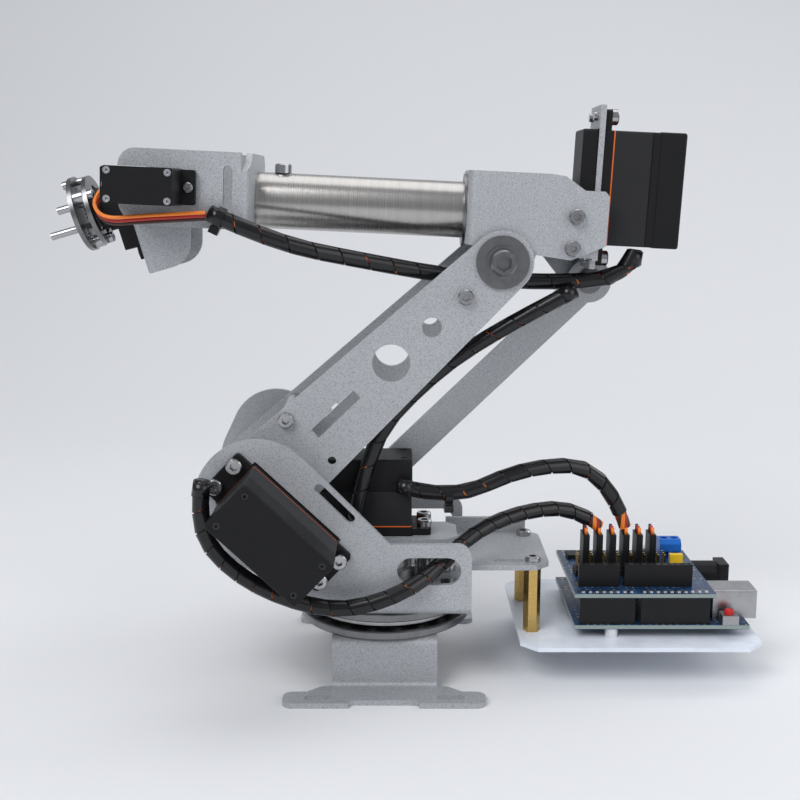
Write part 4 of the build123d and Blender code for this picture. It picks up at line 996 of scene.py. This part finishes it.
class ArmCables(bpy.types.Operator):
    """Lay the wrapped cables and the wrist's three-wire lead."""

    bl_idname = "arm.cables"
    bl_label = "Cables"

    def execute(self, context):
        sizes = context.scene.arm_sizes
        colours = context.scene.arm_colours
        wrap = wrap_finish(colours)
        bundle = bundle_finish(colours)
        tree = wrap_tree()
        inner = sizes.wrap_radius - sizes.wrap_thickness
        for name, route, body, node, length, share, bare, ends in CABLES:
            cable = cord_piece(name + "_bundle", route, inner, bundle, body, node)
            pitch = share * sizes.wrap_pitch
            cover = [wrap_piece(name + "_wrap", route, sizes, pitch, bare, tree, wrap, body)]
            for end in ends:
                before = route[1] if end == 0 else route[-2]
                label = name + ("_start" if end == 0 else "_end")
                reach = sizes.wrap_radius * SLEEVE_LENGTH
                radius = sizes.wrap_radius * SLEEVE_RADIUS
                cover.append(sleeve_piece(label, route[end], before, reach, radius, wrap, body))
            path = None if isinstance(body, str) else route_points(route)
        shades = [WIRE_BROWN, WIRE_RED, colours.wire]
        for number, shade in enumerate(shades):
            drop = (len(shades) - 1 - number) * LEAD_DROP
            route = [(x, y - number * LEAD_PITCH, z - drop) for x, y, z in LEAD_ROUTE]
            finish = wire_finish("lead_" + str(number), shade)
            name = "wrist_wire_" + str(number)
            wire = cord_piece(name, route, LEAD_RADIUS, finish, LEAD_BEND, "wrist_leads")
            route_points(route)
        for name, spot, direction, body in TIES:
            tie_piece(name, spot, direction, wrap, body)
        return {"FINISHED"}


class ArmMetal(bpy.types.Operator):
    """Paint the sheet and finish the tube, screws, spacers and horns."""

    bl_idname = "arm.metal"
    bl_label = "Metal"

    def execute(self, context):
        sizes = context.scene.arm_sizes
        colours = context.scene.arm_colours
        dress(SHEET_NODES, paint_finish(sizes, colours))
        dress(SCREW_NODES, steel_finish("screw_steel", (0.42, 0.42, 0.43), rough=0.19, grain=2400.0))
        turned = steel_finish("turned_steel", (0.22, 0.22, 0.225), rough=0.25, grain=3200.0)
        dress(TURNED_NODES, turned)
        satin = steel_finish("satin_aluminium", (0.44, 0.445, 0.455), rough=0.30, grain=2800.0)
        dress(ALUMINIUM_NODES, satin)
        dress(["forearm_tube"], tube_finish())
        return {"FINISHED"}


class ArmServos(bpy.types.Operator):
    """Finish the servo cases and put in their small screws."""

    bl_idname = "arm.servos"
    bl_label = "Servos"

    def execute(self, context):
        sizes = context.scene.arm_sizes
        colours = context.scene.arm_colours
        tree = screw_tree()
        black = steel_finish("black_screw", (0.05, 0.05, 0.055), rough=0.3, grain=2600.0)
        bright = steel_finish("small_screw", (0.66, 0.66, 0.68), rough=0.2, grain=2600.0)
        for name, servo in servo_frames().items():
            dress([name], servo_finish(name + "_case", servo, SERVO_SPLITS, sizes, colours, True))
            spots = screw_spots(servo, SERVO_SCREWS, SERVO_BACK + SERVO_HEAD_SINK)
            screw_heads(name + "_heads", spots, servo, SERVO_HEAD_RADIUS, tree, black)
        for name, servo in micro_frames().items():
            splits = (MICRO_BACK + MICRO_SPLIT,)
            dress([name], servo_finish(name + "_case", servo, splits, sizes, colours, False))
            spots = screw_spots(servo, MICRO_SCREWS, MICRO_BACK)
            screw_heads(name + "_heads", spots, servo, MICRO_HEAD_RADIUS, tree, bright)
        dress(["pitch_horn", "tool_horn"], plastic_finish("horn_plastic", (0.03, 0.03, 0.032), rough=0.35))
        return {"FINISHED"}


class ArmController(bpy.types.Operator):
    """Finish the tray, boards and connectors and add the small parts on the boards."""

    bl_idname = "arm.controller"
    bl_label = "Controller"

    def execute(self, context):
        colours = context.scene.arm_colours
        tray = plastic_finish("acrylic", colours.acrylic, rough=0.16, grain=900.0, depth=0.000008)
        dress(["controller_tray"], tray)
        dress(["main_board", "servo_shield"], board_finish(colours))
        dress(["servo_plugs", "power_jack"], plastic_finish("connector_plastic", CONNECTOR_BLACK, rough=0.38))
        dress(["reset_button"], plastic_finish("button_red", (0.55, 0.02, 0.02), rough=0.25))
        dress(["usb_socket"], steel_finish("plated_shell", PLATED_STEEL, rough=0.24, grain=1800.0))
        dress(["brass_standoffs"], split_finish(
            "standoffs", lambda work: work.along((1, 0, 0)).above(BRASS_END),
            ((0.66, 0.44, 0.15), 0.24, 1.0), ((0.75, 0.76, 0.78), 0.3, 0.2)))
        dress(["board_sockets"], split_finish(
            "sockets", lambda work: work.along((1, 0, 0)).above(SOCKETS_END),
            (CONNECTOR_BLACK, 0.4, 0.0), (PLATED_STEEL, 0.3, 1.0)))
        dress(["pin_headers"], split_finish(
            "pins", lambda work: work.along((0, 0, 1)).above(SHIELD_TOP + PIN_BASE),
            (CONNECTOR_BLACK, 0.4, 0.0), (GOLD, 0.2, 1.0)))
        dress(["screw_terminal"], split_finish(
            "terminal", lambda work: work.along((0, 1, 0)).below(JUMPER_END),
            ((0.01, 0.13, 0.52), 0.28, 0.0), ((0.85, 0.55, 0.02), 0.32, 0.0)))
        self.small_parts(colours)
        return {"FINISHED"}

    def small_parts(self, colours):
        chip = plastic_finish("chip_plastic", (0.02, 0.02, 0.022), rough=0.42)
        tin = steel_finish("tinned", (0.70, 0.70, 0.72), rough=0.28, grain=2600.0)
        pale = plastic_finish("ceramic", (0.55, 0.42, 0.25), rough=0.5)
        at = BOARD_LEFT
        chips = [((at + left, front, top), (at + right, back, top + thickness))
                 for (left, front), (right, back), top, thickness in CHIPS]
        mesh_piece("chips", blocks(chips), chip, "waist", False)
        tree = block_tree()
        legs = [(at + LEGS_LEFT + n * PIN_PITCH / 2, y, SHIELD_TOP)
                for n in range(LEG_COUNT) for y in LEG_ROWS]
        pads = [(at + start + (n + 0.5) * PIN_PITCH, PAD_ROW, SHIELD_TOP)
                for start, count in PAD_RUNS for n in range(count)]
        crystal = [(at + CRYSTAL_PLACE[0], CRYSTAL_PLACE[1], BOARD_TOP)]
        groups = [(LEG_SIZE, legs), (PAD_SIZE, pads), (CRYSTAL_SIZE, crystal)]
        small_blocks("tinned_parts", groups, tree, tin)
        resistors = [(at + start + n * spacing, y, top)
                     for start, spacing, y, top, count in RESISTOR_ROWS for n in range(count)]
        small_blocks("chip_resistors", [(RESISTOR_SIZE, resistors)], tree, pale)
        cans = [(at + x, y, SHIELD_TOP, CAN_RADIUS, CAN_HEIGHT) for x, y in CAN_PLACES]
        mesh_piece("capacitors", drums(cans), tin, "waist", False)
        for row, shade in enumerate([colours.wire, WIRE_RED, WIRE_BROWN]):
            y = PLUGS_FRONT + row * PIN_PITCH
            places = [(at + PLUGS_LEFT + (column + 0.5) * PIN_PITCH, y, PLUG_TOP) for column in PLUG_COLUMNS]
            tails = drums([(*place, TAIL_RADIUS, TAIL_HEIGHT) for place in places], TAIL_SIDES)
            finish = wire_finish("tail_" + str(row), shade)
            mesh_piece("plug_tails_" + str(row), tails, finish, "waist", True)


class ArmPanel(bpy.types.Panel):
    """The steps, the sizes and the colours."""

    bl_idname = "VIEW3D_PT_arm"
    bl_label = "Robot arm"
    bl_space_type = "VIEW_3D"
    bl_region_type = "UI"
    bl_category = "Arm"

    def draw(self, context):
        for step in STEPS:
            self.layout.operator(step.bl_idname)
        for group in (context.scene.arm_sizes, context.scene.arm_colours):
            for name in group.__annotations__:
                self.layout.prop(group, name)


STEPS = (ArmStage, ArmCables, ArmMetal, ArmServos, ArmController)
CLASSES = (ArmSizes, ArmColours, *STEPS, ArmPanel)


def register():
    for item in CLASSES:
        bpy.utils.register_class(item)
    bpy.types.Scene.arm_sizes = bpy.props.PointerProperty(type=ArmSizes)
    bpy.types.Scene.arm_colours = bpy.props.PointerProperty(type=ArmColours)


def unregister():
    del bpy.types.Scene.arm_colours
    del bpy.types.Scene.arm_sizes
    for item in reversed(CLASSES):
        bpy.utils.unregister_class(item)


def main():
    register()
    for step in STEPS:
        group, action = step.bl_idname.split(".")
        getattr(getattr(bpy.ops, group), action)()


if __name__ == "__main__":
    main()
